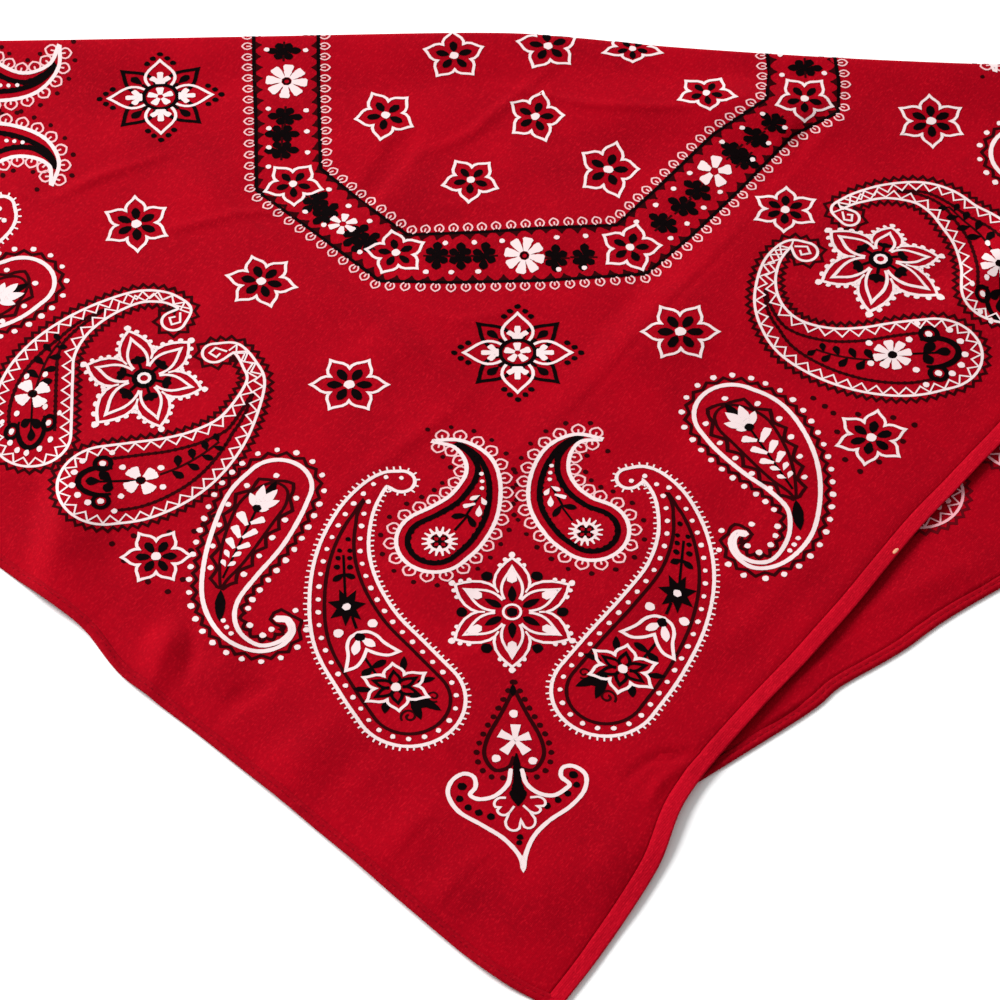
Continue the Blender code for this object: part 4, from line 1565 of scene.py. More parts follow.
def big_paisley(pen, rows, frame):
    """Ticked white outline, white dots and a dark inner line round flowers."""
    spine = Spine(rows)
    ring = spine.outline(0.5)
    pen.ribbon("white", ring, 1.15, closed=True)
    ticks(pen, "white", ring, 2.05, 0.2, 1.75, 0.66)
    dots(pen, "white", spine.outline(3.2, 0.75), 4.9, 0, 0.85)
    pen.ribbon("dark", spine.outline(5.1, 0.86, 85.0), 1.1, closed=True)
    with pen.placed(*carried(BIG_FRAME, frame)):
        pen.chart(BIG_MARKS)
        bell(pen, *BIG_BELL, 1.05)
        x, y, across, up = BIG_FLOWER
        ring = petal_ring(SOFT_PETAL, 6, 36) * (across, up) + (x, y)
        pen.ribbon("white", ring, 0.95, closed=True)
        for tip in spokes(6, 36):
            path = petal_line(0, 0, tip, 1.5, 5.2, 1.5) * (1.1, 0.88) + (x, y)
            pen.ribbon("black", path, 1.0)
        pen.dot("white_over", x, y, 1.55, 12)
        x, y = BIG_STAR
        star = polar(0, 0, np.resize((6.9, 3.5), 14), np.array(spokes(14, 62)))
        pen.shape("black", star * (0.88, 1.06) + (x, y))
        pen.dot("white_over", x, y, 1.3, 12)
        curl(pen, -41.9, -88.0, 2.7, 215, 0.75)
        curl(pen, -34.6, -80.6, 2.2, 300, 0.6)


# What lies in a small paisley
SMALL_MARKS = (
    ("line", "black", -28.6, -18.0, 55, 7.4, 0.75),
    ("line", "black", -25.2, -12.4, 62, 9.4, 0.75),
    ("drop", "black", -24.4, -12.0, -172, 5.4, 2.3),
    ("drop", "black", -24.8, -11.6, -64, 5.8, 2.3),
    ("wedge", "white", -22.2, -7.7, -164, 3.9, 1.6),
    ("drop", "white", -20.9, -8.4, -94, 4.4, 2.0),
    ("drop", "white", -20.7, -4.4, -152, 3.7, 1.6),
    ("drop", "white", -20.3, -5.2, -66, 3.3, 1.7),
    ("white", -20.3, 4.0, 0.75), ("white", -20.1, 1.1, 0.75), ("white", -20.1, -1.6, 0.75),
)
SMALL_SUN = (-33.2, -22.3)


def small_paisley(pen, rows, side):
    """White outline with loops and black dots outside it, and a thick dark inner line."""
    spine = Spine(rows)
    ring = spine.outline(0.4)
    pen.ribbon("white", ring, 1.3, closed=True)
    points, normals = spaced(ring, 5.3, 0.4)
    for (x, y), normal in zip(points, normals):
        loop(pen, x, y, normal, 1.03, 1.5, 1.2)
    dots(pen, "dark", ring, 5.3, 5.0, 0.85, 0.9)
    pen.ribbon("black", spine.outline(3.9, 0.8, 51.0), 1.8, closed=True)
    dots(pen, "black", spine.outline(4.1, 0.8, 48.0), 2.6, 0, 0.98)
    with pen.placed(*spine.like(Spine(SMALL_LEFT), side, 40.0)):
        pen.chart(SMALL_MARKS)
        x, y = SMALL_SUN
        pen.ring("white", x, y, 3.5, 0.9)
        for angle in spokes(16, 11):
            pen.petal("white", *polar(x, y, 3.7, angle), angle, 2.0, ((0.0, 1.1), (1.0, 0.5)))
        for angle in spokes(4):
            pen.petal("white", *polar(x, y, 1.6, angle), angle, 1.9, ((0.0, 0.4), (1.0, 2.4)))
            pen.ribbon("black", petal_line(x, y, angle + 45, 0.4, 2.7, 1.05), 0.55)
        pen.dot("black", x, y, 0.8, 9)


# What lies in a dotted paisley
DOTTED_MARKS = (
    ("leaf", "black", -88.4, -7.4, 65, 9.6, 2.9),
    ("leaf", "white", -90.0, -9.6, 112, 6.6, 3.0),
    ("leaf", "white", -90.2, -9.4, 78, 9.2, 3.2),
    ("leaf", "white", -90.0, -9.4, 50, 9.4, 3.1),
    ("leaf", "white", -90.0, -9.4, 23, 7.4, 2.8),
    ("leaf", "white", -90.4, -9.7, -2, 4.0, 2.2),
    ("white", -88.8, -7.4, 2.2), ("black_over", -90.2, -9.5, 1.45),
    ("line", "black", -90.2, -9.5, -110, 28.5, 0.7),
    ("wedge", "white", -93.1, -16.1, 116, 5.7, 2.9),
    ("wedge", "white", -91.9, -15.3, 21, 4.5, 2.5),
    ("wedge", "white", -95.2, -20.9, 112, 5.0, 2.6),
    ("wedge", "white", -94.3, -20.9, 33, 5.2, 2.3),
    ("wedge", "white", -96.8, -25.0, 116, 4.4, 2.4),
    ("wedge", "white", -95.8, -25.0, 23, 4.2, 2.2),
    ("drop", "white", -98.2, -28.6, 113, 3.4, 1.8),
    ("drop", "white", -97.3, -28.3, 33, 3.4, 1.7),
    ("drop", "white", -99.2, -32.0, 113, 3.0, 1.6),
    ("drop", "white", -98.6, -31.8, 33, 3.0, 1.6),
    ("leaf", "black", -100.4, -40.8, -90, 12.0, 3.2),
)


# Its inner line, as a paisley of its own
DOTTED_INNER = (
    (-85.3, -4.0, 4.6), (-87.1, -6.6, 5.9), (-90.4, -11.2, 6.5), (-94.8, -21.7, 5.3),
    (-97.4, -29.4, 3.6), (-99.5, -35.8, 1.4), (-100.3, -39.7, 0.3),
)


# A flower's base, the end of the leaf behind it and the inner line's side, in each paisley
DOTTED_FRAME = ((-90.2, -9.5), (-100.4, -52.8), (-80.9, -5.0))
DOTTED_RIGHT_FRAME = ((64.0, 22.5), (78.7, -18.0), (53.5, 25.0))


def dotted_paisley(pen, rows, frame):
    """Thick white outline between white dots, with a sprig inside two dark lines."""
    spine = Spine(rows)
    ring = spine.outline(0.65)
    pen.ribbon("white", ring, 1.45, closed=True)
    points, normals = waves(pen, "dark", ring, 4.6, 1.6, 3.1, 1.05)
    for x, y in apart(points + normals * 3.9, 3.2):
        pen.dot("white", x, y, RANDOM.uniform(0.9, 1.1), 10)
    for share in (0.60, 0.63, 0.66):
        pen.dot("white", *spine.at(share * spine.along[-1])[:2], 0.85, 9)
    with pen.placed(*carried(DOTTED_FRAME, frame)):
        inner = Spine(DOTTED_INNER).outline()
        pen.ribbon("dark", inner, 0.95, closed=True)
        points, normals = waves(pen, "dark", inner, 7.8, 0.7, 2.9, 1.1)
        for x, y in apart(points + normals * 2.8, 4.0):
            if math.hypot(x - DOTTED_INNER[-1][0], y - DOTTED_INNER[-1][1]) > 7.0:
                pen.dot("white", x, y, RANDOM.uniform(0.9, 1.05), 10)
        pen.chart(DOTTED_MARKS)


# What lies in a paisley with triangles along its outline
ZIGZAG_MARKS = (
    ("drop", "black", -139.2, 1.2, 180, 5.0, 3.3),
    ("drop", "black", -135.8, 1.0, 138, 5.6, 3.4),
    ("drop", "black", -136.0, 1.4, -110, 4.8, 3.4),
    ("line", "black", -140.0, 1.0, 2, 13.0, 0.75),
    ("white", -145.4, 9.0, 1.1), ("white", -147.8, 4.6, 1.1), ("white", -148.2, -0.5, 1.1),
    ("white", -146.3, -4.3, 1.1), ("white", -143.0, -7.2, 1.1), ("white", -136.3, 12.4, 1.0),
    ("white", -134.6, -10.6, 1.0), ("white", -132.8, 6.6, 1.05), ("white", -120.7, 6.4, 1.05),
    ("white", -132.7, -4.8, 1.05), ("white", -119.8, -1.1, 1.05),
)
ZIGZAG_ARC = (-139.0, 1.2, 7.5)
ZIGZAG_EYES = (6.9, -7.9)
# Where the two eyes and the blossom lie: in the marks above, and in each of the paisleys
ZIGZAG_FRAME = ((-138.8, 8.1), (-138.1, -6.7), (-126.8, 1.4))
HIGH_LEFT_FRAME = ((-156.9, 24.5), (-168.4, 21.7), (-162.6, 35.9))
LOW_RIGHT_FRAME = ((122.4, 60.2), (123.9, 44.1), (110.6, 51.7))
HIGH_RIGHT_FRAME = ((140.8, 77.1), (152.5, 74.3), (147.1, 89.6))
# Leaves along the middle line towards the tail: (distance from the head, length)
ZIGZAG_SPRIG = ((22.0, 5.0), (27.5, 4.7), (33.0, 4.3), (38.0, 3.8))


# The turn of line in the curled tail: (degrees round from the neck, share of the tail's radius)
TAIL_CURL = ((-10, 0.98), (62, 0.52), (160, 0.36), (275, 0.44), (338, 0.46))
# How many steps of the middle line show which way the tail curls
CURL_REACH = 14


def zigzag_paisley(pen, rows, frame, petals=4):
    """White outline with white triangles inside it and a dark zigzag outside it."""
    spine = Spine(rows)
    ring = spine.outline(0.4)
    pen.ribbon("white", ring, 0.92, closed=True)
    x, y, radius = spine.curve[-1]
    zigzag(pen, "white", spine.outline(0.8, 0.4), 5.0, 0.0, -2.9, 0.55, (x, y, radius + 1.2))
    zigzag(pen, "dark", ring, 3.0, 1.1, 2.7, 0.95)
    turning = np.cross(spine.ways[-CURL_REACH], spine.ways[-1])
    back = math.degrees(math.atan2(-spine.ways[-1][1], -spine.ways[-1][0]))
    turns, shares = np.array(TAIL_CURL).T
    path = polar(x, y, radius * shares, back + math.copysign(1, turning) * turns)
    pen.ribbon("white", path, 0.7)
    # The inner line starts and ends at the two eyes in the head, and is open there.
    hook = spine.along[np.argmax(spine.curve[:, 2] < 3.4)]
    inner = spine.outline(5.6, 0.84, hook)
    ahead = (inner - spine.curve[0, :2]) @ spine.ways[0]
    gap = np.flatnonzero((ahead < 1.5) & (np.abs(inner - spine.curve[0, :2]).max(axis=1) < 16))
    inner = np.roll(inner, -gap[-1] - 1, axis=0)[: len(inner) - len(gap)]
    pen.ribbon("dark", inner, 0.95)
    for x, y in inner[2::3]:
        pen.dot("dark", x, y, 0.72, 8)
    stem = [spine.at(distance)[:2] for distance in np.arange(17.0, 42.0, 2.5)]
    pen.ribbon("dark", np.array(stem), 0.75)
    for distance, length in ZIGZAG_SPRIG:
        for aside in (-1, 1):
            x, y, angle = spine.at(distance + 1.2 * aside)
            pen.drop("black", x, y, angle + aside * 62, length, 0.55 * length)
    with pen.placed(*carried(ZIGZAG_FRAME, frame)):
        pen.chart(ZIGZAG_MARKS)
        x, y, radius = ZIGZAG_ARC
        turns = np.linspace(66, 294, 30)
        width = 0.8 + 1.1 * np.clip(1.6 * np.sin(np.radians((turns - 66) * 180 / 228)), 0, 1)
        path = polar(0, 0, radius, turns) * (1.0, 0.72) + (x, y)
        pen.ribbon("black", np.hstack([path, width[:, None]]))
        for across in ZIGZAG_EYES:
            pen.ring("black", x, y + across, 2.5, 1.5)
            pen.dot("white", x, y + across, 1.1, 11)
    x, y = frame[2]
    if petals > 4:
        daisy(pen, x, y, (6.2, 6.0), petals, 12)
        pen.dot("black_over", x, y, 1.5, 12)
        return
    way = math.degrees(math.atan2(*(np.array(frame[2]) - np.mean(frame[:2], axis=0))[::-1]))
    for angle in spokes(petals, way + 35):
        for spread in (-19, 19):
            pen.wedge("white", *polar(x, y, 1.7, angle), angle + spread, 4.1, 2.7, 0.75)
    pen.dot("black_over", x, y, 1.35, 12)


# Print: tables of paisleys. Each row is (x, y, radius), from head to tail

BIG_LEFT = (
    (-41.9, -82.0, 17.5), (-49.3, -71.3, 16.4), (-57.7, -57.8, 14.5), (-62.2, -42.0, 11.3),
    (-63.0, -27.0, 8.5), (-60.0, -13.0, 6.1), (-55.3, -3.4, 4.3), (-50.4, 1.8, 3.2),
    (-45.2, 1.0, 4.6),
)
BIG_RIGHT = (
    (17.6, -78.7, 17.1), (26.1, -66.0, 16.6), (34.9, -50.9, 14.5), (40.7, -36.0, 11.3),
    (42.1, -21.0, 8.2), (39.5, -7.5, 5.7), (35.0, 0.8, 4.0), (30.4, 4.1, 3.3), (25.8, 2.2, 4.4),
)
SMALL_LEFT = (
    (-34.7, -22.1, 12.4), (-29.1, -17.4, 11.2), (-23.5, -9.9, 8.9), (-20.2, 0.9, 6.1),
    (-21.4, 9.2, 4.3), (-27.5, 15.6, 2.1), (-36.0, 17.0, 0.5),
)
SMALL_RIGHT = (
    (14.0, -18.0, 12.0), (8.7, -14.3, 10.9), (3.1, -6.6, 9.0), (1.3, 3.2, 6.4), (3.6, 12.3, 4.4),
    (9.7, 18.0, 2.1), (17.9, 17.7, 0.5),
)
DOTTED_LEFT = (
    (-84.0, -1.2, 11.4), (-88.1, -8.8, 12.8), (-92.1, -18.9, 12.1), (-96.9, -30.5, 9.6),
    (-100.2, -42.0, 6.6), (-99.6, -51.2, 4.4), (-95.6, -58.6, 2.9), (-88.5, -62.8, 1.8),
    (-82.0, -61.4, 1.5), (-78.2, -56.8, 1.15), (-79.4, -52.4, 1.15), (-82.6, -51.8, 1.15),
)
DOTTED_RIGHT = (
    (59.0, 27.3, 12.9), (64.7, 21.8, 14.6), (71.0, 12.8, 13.1), (76.4, 3.4, 9.7),
    (79.8, -7.6, 5.9), (79.0, -18.0, 4.2), (75.0, -26.0, 2.9), (69.6, -30.8, 1.9),
    (63.6, -31.2, 1.7), (59.0, -27.6, 1.2), (57.4, -22.8, 1.3), (59.0, -19.2, 1.15),
    (61.4, -19.4, 1.15),
)
ZIGZAG_LEFT_LOW = (
    (-137.4, -0.4, 15.8), (-128.0, 1.3, 15.6), (-116.3, 6.0, 13.0), (-106.2, 13.4, 9.4),
    (-98.0, 23.6, 5.9), (-92.2, 39.5, 3.4), (-94.1, 47.6, 2.7), (-98.9, 54.4, 2.3),
    (-105.6, 52.4, 4.2),
)
ZIGZAG_LEFT_HIGH = (
    (-161.9, 19.2, 12.7), (-162.3, 30.2, 12.8), (-161.0, 41.6, 11.2), (-157.6, 52.6, 8.0),
    (-151.0, 62.3, 5.4), (-142.2, 69.8, 3.8), (-131.8, 75.2, 2.9), (-124.0, 75.7, 2.6),
    (-118.6, 73.6, 2.3), (-115.5, 70.2, 2.3), (-119.1, 65.5, 4.2),
)
ZIGZAG_RIGHT_LOW = (
    (124.8, 52.1, 14.8), (114.5, 50.1, 15.4), (103.0, 49.7, 13.6), (91.3, 51.9, 11.0),
    (81.0, 57.1, 8.5), (74.8, 64.2, 6.2), (71.5, 72.7, 4.6), (71.3, 81.8, 3.4), (73.3, 90.0, 2.8),
    (77.0, 95.8, 2.2), (80.5, 97.9, 1.9), (84.5, 94.4, 4.3),
)
ZIGZAG_RIGHT_HIGH = (
    (148.1, 78.9, 14.4), (147.1, 88.9, 13.0), (142.3, 100.3, 10.4), (135.9, 108.2, 7.9),
    (130.4, 115.0, 6.6), (122.8, 119.4, 5.0), (112.0, 120.1, 3.3), (103.1, 117.7, 2.6),
    (98.1, 115.2, 2.2), (95.3, 112.4, 2.3), (99.3, 108.7, 3.6),
)
BACK_ZIGZAG_LOW = (
    (116.0, -3.0, 14.4), (107.0, 4.0, 14.0), (97.0, 13.0, 12.0), (88.0, 24.0, 9.0),
    (82.0, 38.0, 6.0), (84.0, 50.0, 4.0), (92.0, 58.0, 2.0),
)
BACK_ZIGZAG_HIGH = (
    (150.5, 20.5, 15.6), (160.0, 27.0, 14.6), (170.0, 36.0, 12.0), (177.0, 48.0, 8.6),
    (178.0, 60.0, 5.8), (172.0, 69.0, 3.6), (162.0, 73.0, 2.0),
)


# Print: the groups


SPADE_SIDE = (
    (-10.6, -78.6), (-14.2, -87.0), (-18.2, -95.6), (-19.2, -102.2), (-16.2, -107.4),
    (-11.9, -106.4), (-10.3, -102.6),
)
SPADE_RIM = (
    (-10.6, -75.4), (-15.2, -85.4), (-20.1, -95.6), (-21.5, -103.0), (-18.4, -109.2),
    (-13.0, -110.4),
)
SPADE_MIDDLE = -10.3
# Its stem: (x, y, width)
SPADE_STEM = (
    (-9.6, -101.4, 0.5), (-9.5, -105.6, 2.2), (-9.4, -109.4, 2.2), (-9.3, -112.4, 2.9),
    (-9.2, -114.8, 4.3), (-9.1, -116.4, 5.2), (-9.1, -118.0, 3.6), (-9.1, -120.6, 0.3),
)
# The petals of its flower: (angle, length, width)
SPADE_FLOWER = (-10.0, -96.6)
SPADE_PETALS = ((88, 5.6, 3.2), (18, 4.8, 3.1), (-52, 5.9, 3.2), (-127, 5.7, 3.2), (153, 5.3, 3.2))
SPADE_MARKS = (
    ("white", -10.4, -87.1, 1.4), ("white", -15.7, -103.3, 1.4), ("white", -4.7, -104.2, 1.4),
    ("leaf", "black", -10.6, -80.6, 90, 4.4, 2.0),
)
# Lobes under the stem, seen from a middle: (degrees and reach of the valley before it, its reach)
LACE_MIDDLE = (-9.1, -118.6)
LACE = (
    (163, 3.8, 7.0), (203, 5.9, 7.2), (238, 5.0, 10.6), (277, 6.9, 10.2), (313, 5.0, 7.4),
    (342, 6.0, 8.0), (379, 3.8, 3.8),
)
SCROLL_LEFT = (
    (-11.3, -107.6), (-12.2, -112.6), (-16.0, -116.8), (-20.6, -118.0), (-23.4, -116.4),
    (-21.8, -113.6), (-22.4, -110.0), (-25.6, -108.9), (-29.0, -111.6), (-30.0, -116.4),
    (-26.8, -122.4), (-19.6, -127.4), (-13.4, -132.0), (-8.9, -137.8), (-7.6, -142.6),
)
SCROLL_RIGHT = (
    (-7.9, -107.6), (-6.6, -112.4), (-3.0, -115.8), (1.6, -116.6), (5.4, -114.0), (6.2, -112.4),
    (3.8, -109.8), (4.4, -106.6), (7.8, -106.2), (11.2, -109.4), (10.6, -115.0), (6.4, -120.6),
    (0.2, -125.6), (-4.2, -130.8), (-6.6, -136.6), (-7.6, -142.6),
)
SCROLL_MARKS = (
    ("leaf", "white", -7.6, -144.0, 90, 6.4, 2.1),
    ("black", -25.9, -113.4, 1.4), ("black", -26.6, -117.8, 1.15), ("black", -24.0, -120.9, 1.1),
    ("black", -20.8, -122.7, 1.15), ("black", -17.2, -124.1, 1.2), ("black", 7.4, -109.2, 1.35),
    ("black", 8.4, -112.8, 1.1), ("black", 5.7, -115.9, 1.1), ("black", 2.8, -118.2, 1.1),
    ("black", -0.5, -120.3, 1.15), ("black", -8.6, -131.4, 1.05), ("black", -8.8, -133.4, 0.95),
)


def spade(pen):
    """A dark pointed heart with a white flower in it, black dots round it, on a tapering stem."""
    swap = np.array((-1.0, 1.0))
    across = np.array((2 * SPADE_MIDDLE, 0.0))
    left = dense_curve(SPADE_SIDE)[::6]
    pen.ribbon("dark", left, 1.25)
    pen.ribbon("dark", left * swap + across, 1.25)
    rim = dense_curve(SPADE_RIM)
    for spot in at_lengths(rim, np.arange(0.0, lengths(rim)[-1], 3.5)):
        pen.dot("dark", *spot, 0.95, 9)
        pen.dot("dark", *(spot * swap + across), 0.95, 9)
    for angle, length, width in SPADE_PETALS:
        widths = ((0.0, 1.2), (0.3, 0.55 * width), (0.97, width), (1.0, width))
        pen.petal("white", *SPADE_FLOWER, angle, length, widths)
    pen.chart(SPADE_MARKS)
    pen.ribbon("black", dense_curve(SPADE_STEM)[::6])


def scroll(pen):
    """A white bracket that curls at both ends and meets in a point, with a lace edge inside."""
    for rows in (SCROLL_LEFT, SCROLL_RIGHT):
        pen.ribbon("white", dense_curve(rows)[::5], 1.35, ends=True)
    pen.chart(SCROLL_MARKS)
    path = []
    for (first, near, reach), (last, beside, _) in zip(LACE[:-1], LACE[1:]):
        for t in np.linspace(0, 1, 9)[:-1]:
            bulge = math.sqrt(1 - (2 * t - 1) ** 2)
            valley = near + (beside - near) * t
            out = valley + (reach - (near + beside) / 2) * bulge
            path.append(polar(*LACE_MIDDLE, out, first + (last - first) * t))
    path.append(polar(*LACE_MIDDLE, LACE[-1][1], LACE[-1][0]))
    pen.ribbon("white", np.array(path), 0.78)
    for angle, near, _ in (LACE[2], LACE[4]):
        spoke = polar(*LACE_MIDDLE, near, angle), polar(*LACE_MIDDLE, 2.2, angle)
        pen.ribbon("white", spoke, 0.7)


def corner_group(pen):
    """What fills one corner of the cloth."""
    big_paisley(pen, BIG_LEFT, BIG_FRAME)
    big_paisley(pen, BIG_RIGHT, BIG_RIGHT_FRAME)
    small_paisley(pen, SMALL_LEFT, 1)
    small_paisley(pen, SMALL_RIGHT, -1)
    beaded_flower(pen, -10.8, -49.2, (20.2, 20.6), 90, False)
    spade(pen)
    scroll(pen)


BAND_OUTER = (
    (-97.4, 196.0), (-96.6, 176.0), (-95.2, 150.0), (-94.2, 120.6), (-73.6, 101.6), (-53.2, 82.2),
    (-30.0, 81.6), (0.0, 82.4), (32.6, 85.2), (48.0, 101.6), (64.0, 121.0), (82.0, 144.4),
    (97.4, 154.6), (98.2, 168.0), (96.4, 190.0),
)
BAND_INNER = (
    (-75.6, 196.0), (-74.8, 164.0), (-73.4, 130.0), (-60.0, 116.0), (-44.6, 101.6), (-20.0, 102.8),
    (0.0, 104.6), (23.4, 105.8), (36.0, 120.4), (56.0, 145.0), (74.0, 160.6), (75.2, 172.0),
    (74.4, 190.0),
)
# Blooms in the band: (kind, x, y, reach across, reach up, points, turn)
BAND_BLOOMS = (
    ("star", -82.2, 123.3, 9.3, 8.6, 5, 57),
    ("star", -48.2, 94.0, 9.3, 8.8, 5, 27),
    ("star", 27.7, 96.2, 9.4, 9.6, 5, 77),
    ("star", 86.5, 160.5, 9.2, 9.4, 5, 52),
    ("daisy", -85.5, 168.2, 6.9, 7.4, 8, 85),
    ("daisy", -65.6, 106.2, 4.8, 4.3, 6, 20),
    ("daisy", -6.6, 92.8, 6.5, 7.7, 8, 78),
    ("daisy", 55.8, 128.7, 5.6, 6.7, 5, 80),
)
# Black leaf clusters in the band: (x, y, turn)
BAND_LEAVES = (
    (-86.8, 181.6, 90), (-85.6, 152.8, 90), (-86.4, 145.2, 90), (-86.4, 138.0, 90),
    (-74.8, 115.4, -44), (-71.4, 110.6, -44), (-61.4, 101.4, -44), (-58.2, 98.4, -44),
    (-35.0, 92.8, 0), (-27.4, 92.6, 0), (-19.6, 92.8, 0), (3.6, 91.8, 0), (12.6, 92.2, 0),
    (38.6, 106.6, 50), (45.2, 113.8, 50), (50.0, 120.6, 50), (62.6, 137.2, 50), (65.6, 133.8, 50),
    (69.8, 143.4, 42), (76.0, 150.0, 42), (87.2, 174.2, 90),
)


SPIKE = ((0.0, 4.8), (0.3, 3.3), (0.62, 1.5), (1.0, 0.3))


def band_line(pen, rows, inward):
    """A black line with points on the band's side and white loops on the other."""
    path = np.array(rows, float)
    pen.ribbon("black", path, 1.2)
    line = np.hstack([path, segment_normals(path) * inward])
    total = lengths(path)[-1]
    for x, y, nx, ny in at_lengths(line, np.arange(1.6, total, 5.0)):
        angle = math.degrees(math.atan2(ny, nx)) + RANDOM.uniform(-8, 8)
        pen.petal("dark", x, y, angle, 2.7 * RANDOM.uniform(0.85, 1.1), SPIKE)
    for x, y, nx, ny in at_lengths(line, np.arange(2.6, total, 4.75)):
        normal = -np.array((nx, ny)) / math.hypot(nx, ny)
        loop(pen, x + normal[0] * 0.6, y + normal[1] * 0.6, normal, 0.88, 1.7)


def segment_normals(path):
    """Left normals of a path with sharp corners: at each point the mean of its two stretches."""
    steps = np.diff(path, axis=0)
    steps /= np.linalg.norm(steps, axis=1)[:, None]
    mean = np.vstack([steps[:1], steps[:-1] + steps[1:], steps[-1:]])
    mean /= np.linalg.norm(mean, axis=1)[:, None]
    return np.stack([-mean[:, 1], mean[:, 0]], axis=1)


def octagon(pen):
    """A band of leaves, daisies and star flowers between two scalloped lines."""
    band_line(pen, BAND_OUTER, 1)
    band_line(pen, BAND_INNER, -1)
    for rows, inward in ((BAND_OUTER, 1), (BAND_INNER, -1)):
        path = np.array(rows, float)
        line = np.hstack([path, segment_normals(path) * inward])
        for x, y, nx, ny in at_lengths(line, np.arange(5.0, lengths(path)[-1], 8.8)):
            x, y = x + nx * 4.3, y + ny * 4.3
            away = [math.hypot(x - row[1], y - row[2]) - max(row[3:5]) for row in BAND_BLOOMS]
            if min(away) > 1.4:
                pen.dot("white", x, y, 0.95, 9)
    for x, y, turn in BAND_LEAVES:
        for side in (90, -90):
            start = polar(x, y, 0.7, turn + side)
            for spread, length in ((-66, 4.0), (0, 5.2), (66, 4.0)):
                angle = turn + side + spread + RANDOM.uniform(-7, 7)
                pen.drop("black", *start, angle, length, 3.0)
        pen.ribbon("black", (polar(x, y, -1.6, turn), polar(x, y, 1.6, turn)), 1.7)
        pen.ribbon("dark", (polar(x, y, -4.4, turn), polar(x, y, 4.4, turn)), 0.7)
    for kind, x, y, across, up, points, turn in BAND_BLOOMS:
        draw = star_flower if kind == "star" else daisy
        draw(pen, x, y, (across, up), points, turn)


# Loose star flowers: (x, y, reach across, reach up, points, turn, halo)
STARS = (
    (-62.3, 39.6, 11.6, 10.7, 6, 0, 0),
    (-132.8, 106.2, 10.4, 11.0, 6, 95, 0),
    (43.2, 61.2, 11.6, 11.2, 6, 0, 0),
    (128.0, 150.6, 10.8, 10.7, 6, 90, 0),
    (-120.8, -28.1, 10.1, 9.8, 6, 2, -1),
    (102.3, 18.4, 10.8, 10.4, 6, 17, 1),
    (-91.4, 82.0, 10.8, 10.2, 6, -13, 0),
    (78.4, 112.3, 10.2, 8.9, 6, 26, 0),
    (-52.4, 153.2, 9.4, 10.2, 5, 45, 0),
    (-29.9, 179.7, 9.6, 10.2, 5, 93, 0),
    (1.6, 184.0, 9.8, 10.2, 5, 97, 0),
    (29.8, 182.8, 9.6, 5.6, 5, 54, 0),
    (-2.8, 152.6, 8.8, 10.6, 5, 75, 0),
    (-24.1, 125.0, 8.9, 9.0, 5, 50, 0),
    (21.0, 129.5, 9.4, 11.6, 5, 73, 0),
    (54.0, 163.0, 9.4, 6.8, 5, 60, 0),
    (-197.8, 41.7, 10.6, 10.4, 6, 20, 1),
    (180.0, 106.0, 10.6, 10.4, 6, 20, -1),
)


def settled(points, stretch, tree):
    """Where the drawing's points lie on the cloth: (points, normals, which of them do)."""
    behind = CAMERA_DISTANCE * math.cos(CAMERA_ELEVATION)
    camera = np.array((CAMERA_TARGET[0], CAMERA_TARGET[1] - behind))
    camera_height = CAMERA_DISTANCE * math.sin(CAMERA_ELEVATION)
    height_at = flap_top if stretch == "flap" else back_top
    plan = points.copy()
    roll_top = FOLD_RADIUS + ROLL_OUTER
    for _ in range(SETTLING_STEPS):
        height = height_at(plan)
        if stretch == "flap":
            height = np.where(fold_distance(plan) < 0, roll_top, height)
        share = (height - DRAWING_HEIGHT) / (camera_height - DRAWING_HEIGHT)
        plan = points + share[:, None] * (camera - points)
    out = np.zeros((len(points), 3))
    normal = np.zeros((len(points), 3))
    found = np.zeros(len(points), bool)
    past = -fold_distance(plan) if stretch == "flap" else np.full(len(points), -1.0)
    down = Vector((0, 0, -1))
    for i, (x, y) in enumerate(plan):
        if past[i] > 0:
            continue
        hit, face_normal = tree.ray_cast(Vector((x, y, RAY_START)), down)[:2]
        if hit is not None:
            out[i] = hit
            normal[i] = face_normal if face_normal[2] > 0 else -face_normal
            found[i] = True
    over = past > 0
    if over.any():
        x = plan[over, 0]
        far_side = np.interp(x, FOLD[:, 0], FOLD[:, 1])
        crest = far_side - FOLD_RADIUS
        angle = past[over] / ROLL_OUTER
        height = FOLD_RADIUS + ROLL_OUTER * np.cos(angle)
        out[over] = np.stack([x, crest + ROLL_OUTER * np.sin(angle), height], axis=1)
        normal[over] = np.stack([0 * x, np.sin(angle), np.cos(angle)], axis=1)
        within = x > FOLD_LEFT_END[0] + ROLL_END_MARGIN
        within &= x < FOLD_RIGHT_END[0] - ROLL_END_MARGIN
        found[over] = (angle < math.radians(LAST_INK_ANGLE)) & within
    return out, normal, found


def ink_pieces(pen, materials, tree):
    """The pen's inks as meshes that lie on the cloth."""
    made = []
    for ink, (points, faces) in pen.inks.items():
        if not points:
            continue
        points, faces = np.vstack(points), np.vstack(faces)
        places, normals, found = settled(points, pen.stretch, tree)
        faces = faces[found[faces].all(axis=1)]
        if not len(faces):
            continue
        places = places + normals * INK_LIFT[ink]
        used, index = np.unique(faces, return_inverse=True)
        faces = index.reshape(faces.shape)
        corners = places[used][faces]
        turned_up = np.cross(corners[:, 1] - corners[:, 0], corners[:, 2] - corners[:, 0])
        flip = (turned_up * normals[used][faces[:, 0]]).sum(axis=1) < 0
        faces[flip] = faces[flip][:, ::-1]
        look = ink.split("_")[0] + ("_back" if pen.stretch == "back" else "")
        made.append(mesh_piece(f"{pen.name}_{ink}", places[used], faces, materials[look]))
    return made


# The middle of a corner's group, where its copies are taken hold of
GROUP_MIDDLE = (-10.7, -5.0)


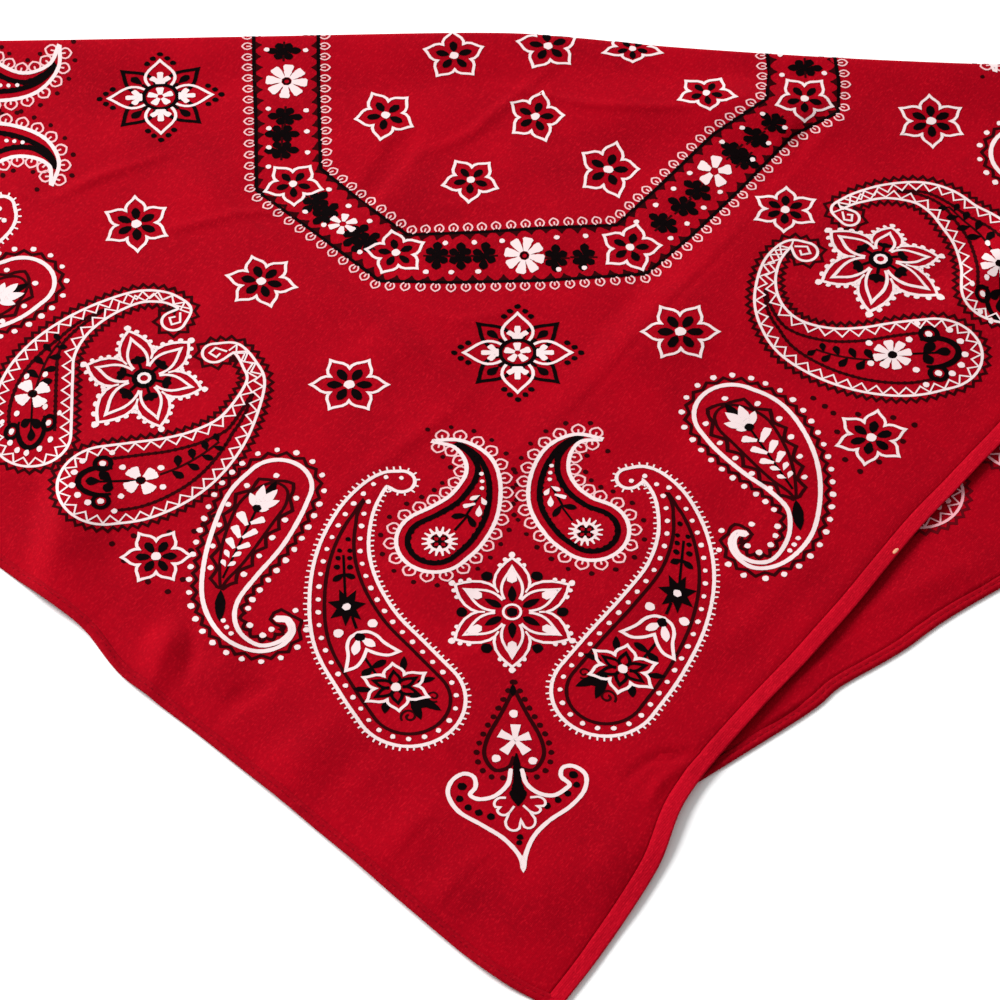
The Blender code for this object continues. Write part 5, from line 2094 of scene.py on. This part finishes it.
def draw_print(materials, flap_tree, back_tree):
    pens = []

    def new_pen(name, stretch="flap"):
        pens.append(Pen(name, stretch))
        return pens[-1]

    corner_group(new_pen("corner_print"))
    octagon(new_pen("octagon_print"))

    pen = new_pen("flower_print")
    for x, y, across, up, points, turn, halo in STARS:
        star_flower(pen, x, y, (across, up), points, turn, halo)
    quatrefoil(pen, -8.9, 52.6)
    quatrefoil(pen, -127.2, 161.4, 3)

    pen = new_pen("side_print_left")
    dotted_paisley(pen, DOTTED_LEFT, DOTTED_FRAME)
    zigzag_paisley(pen, ZIGZAG_LEFT_LOW, ZIGZAG_FRAME)
    zigzag_paisley(pen, ZIGZAG_LEFT_HIGH, HIGH_LEFT_FRAME)
    beaded_flower(pen, -127.5, 42.2, (18.8, 18.8), -13, True, LEFT_PETALS)
    with pen.placed(*moved(mirrored(48), (-127.5, 42.5), (-120.8, 42.5))):
        dotted_paisley(pen, DOTTED_LEFT, DOTTED_FRAME)

    pen = new_pen("side_print_right")
    dotted_paisley(pen, DOTTED_RIGHT, DOTTED_RIGHT_FRAME)
    zigzag_paisley(pen, ZIGZAG_RIGHT_LOW, LOW_RIGHT_FRAME, 8)
    zigzag_paisley(pen, ZIGZAG_RIGHT_HIGH, HIGH_RIGHT_FRAME, 8)
    beaded_flower(pen, 108.6, 91.4, (18.6, 17.6), 18, True, RIGHT_PETALS)
    with pen.placed(*moved(mirrored(-42), (108.6, 91.0), (101.0, 80.0))):
        dotted_paisley(pen, DOTTED_RIGHT, DOTTED_RIGHT_FRAME)

    pen = new_pen("wing_print_left")
    with pen.placed(*moved(np.diag((1.0, 1.15)) @ turned(-90), GROUP_MIDDLE, (-184.0, 155.5))):
        corner_group(pen)
    pen = new_pen("wing_print_right")
    with pen.placed(*moved(turned(99.5), GROUP_MIDDLE, (168.0, 201.0))):
        corner_group(pen)

    pen = new_pen("back_print", "back")
    for rows, side in ((BACK_ZIGZAG_LOW, -1), (BACK_ZIGZAG_HIGH, 1)):
        matrix, move = Spine(rows).like(Spine(ZIGZAG_LEFT_LOW), side, 20.0)
        zigzag_paisley(pen, rows, np.array(ZIGZAG_FRAME) @ matrix.T + move)
    with pen.placed(*moved(np.diag((1.0, -1.0)) @ turned(99.5), GROUP_MIDDLE, (168.0, 147.0))):
        corner_group(pen)

    trees = {"flap": flap_tree, "back": back_tree}
    made = []
    for pen in pens:
        made += ink_pieces(pen, materials, trees[pen.stretch])
    return made


PRINT = draw_print(MATERIALS, FLAP_TREE, BACK_TREE)

# Frame

for piece in list(CLOTH.values()) + PRINT:
    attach(piece, "root")

# Pieces that stand in for the solids: (piece, node, slot)
STAND_INS = (
    ("flap_cloth", "front_flap", "printed_cotton"),
    ("back_cloth", "back_layer", "printed_cotton"),
    ("flap_hem", "front_hem", "hem_cotton"),
    ("back_hem_strip", "back_hem", "hem_cotton"),
    ("flap_selvedge", "front_selvedge_right", "selvedge_cotton"),
    ("flap_selvedge_left", "front_selvedge_left", "selvedge_cotton"),
    ("back_selvedge", "back_selvedge_right", "selvedge_cotton"),
    ("back_selvedge_hidden", "back_selvedge_left", "selvedge_cotton"),
)
for name, node, slot in STAND_INS:
    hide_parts(node)

ON_FLAP = ["flap_hem", "flap_hem_stitches", "flap_selvedge", "flap_selvedge_left", "flap_slub"]
ON_FLAP += [piece.name for piece in PRINT if not piece.name.startswith("back")]
ON_BACK = ["back_hem_strip", "back_hem_stitches", "back_selvedge", "back_selvedge_hidden"]
ON_BACK += [piece.name for piece in PRINT if piece.name.startswith("back")]
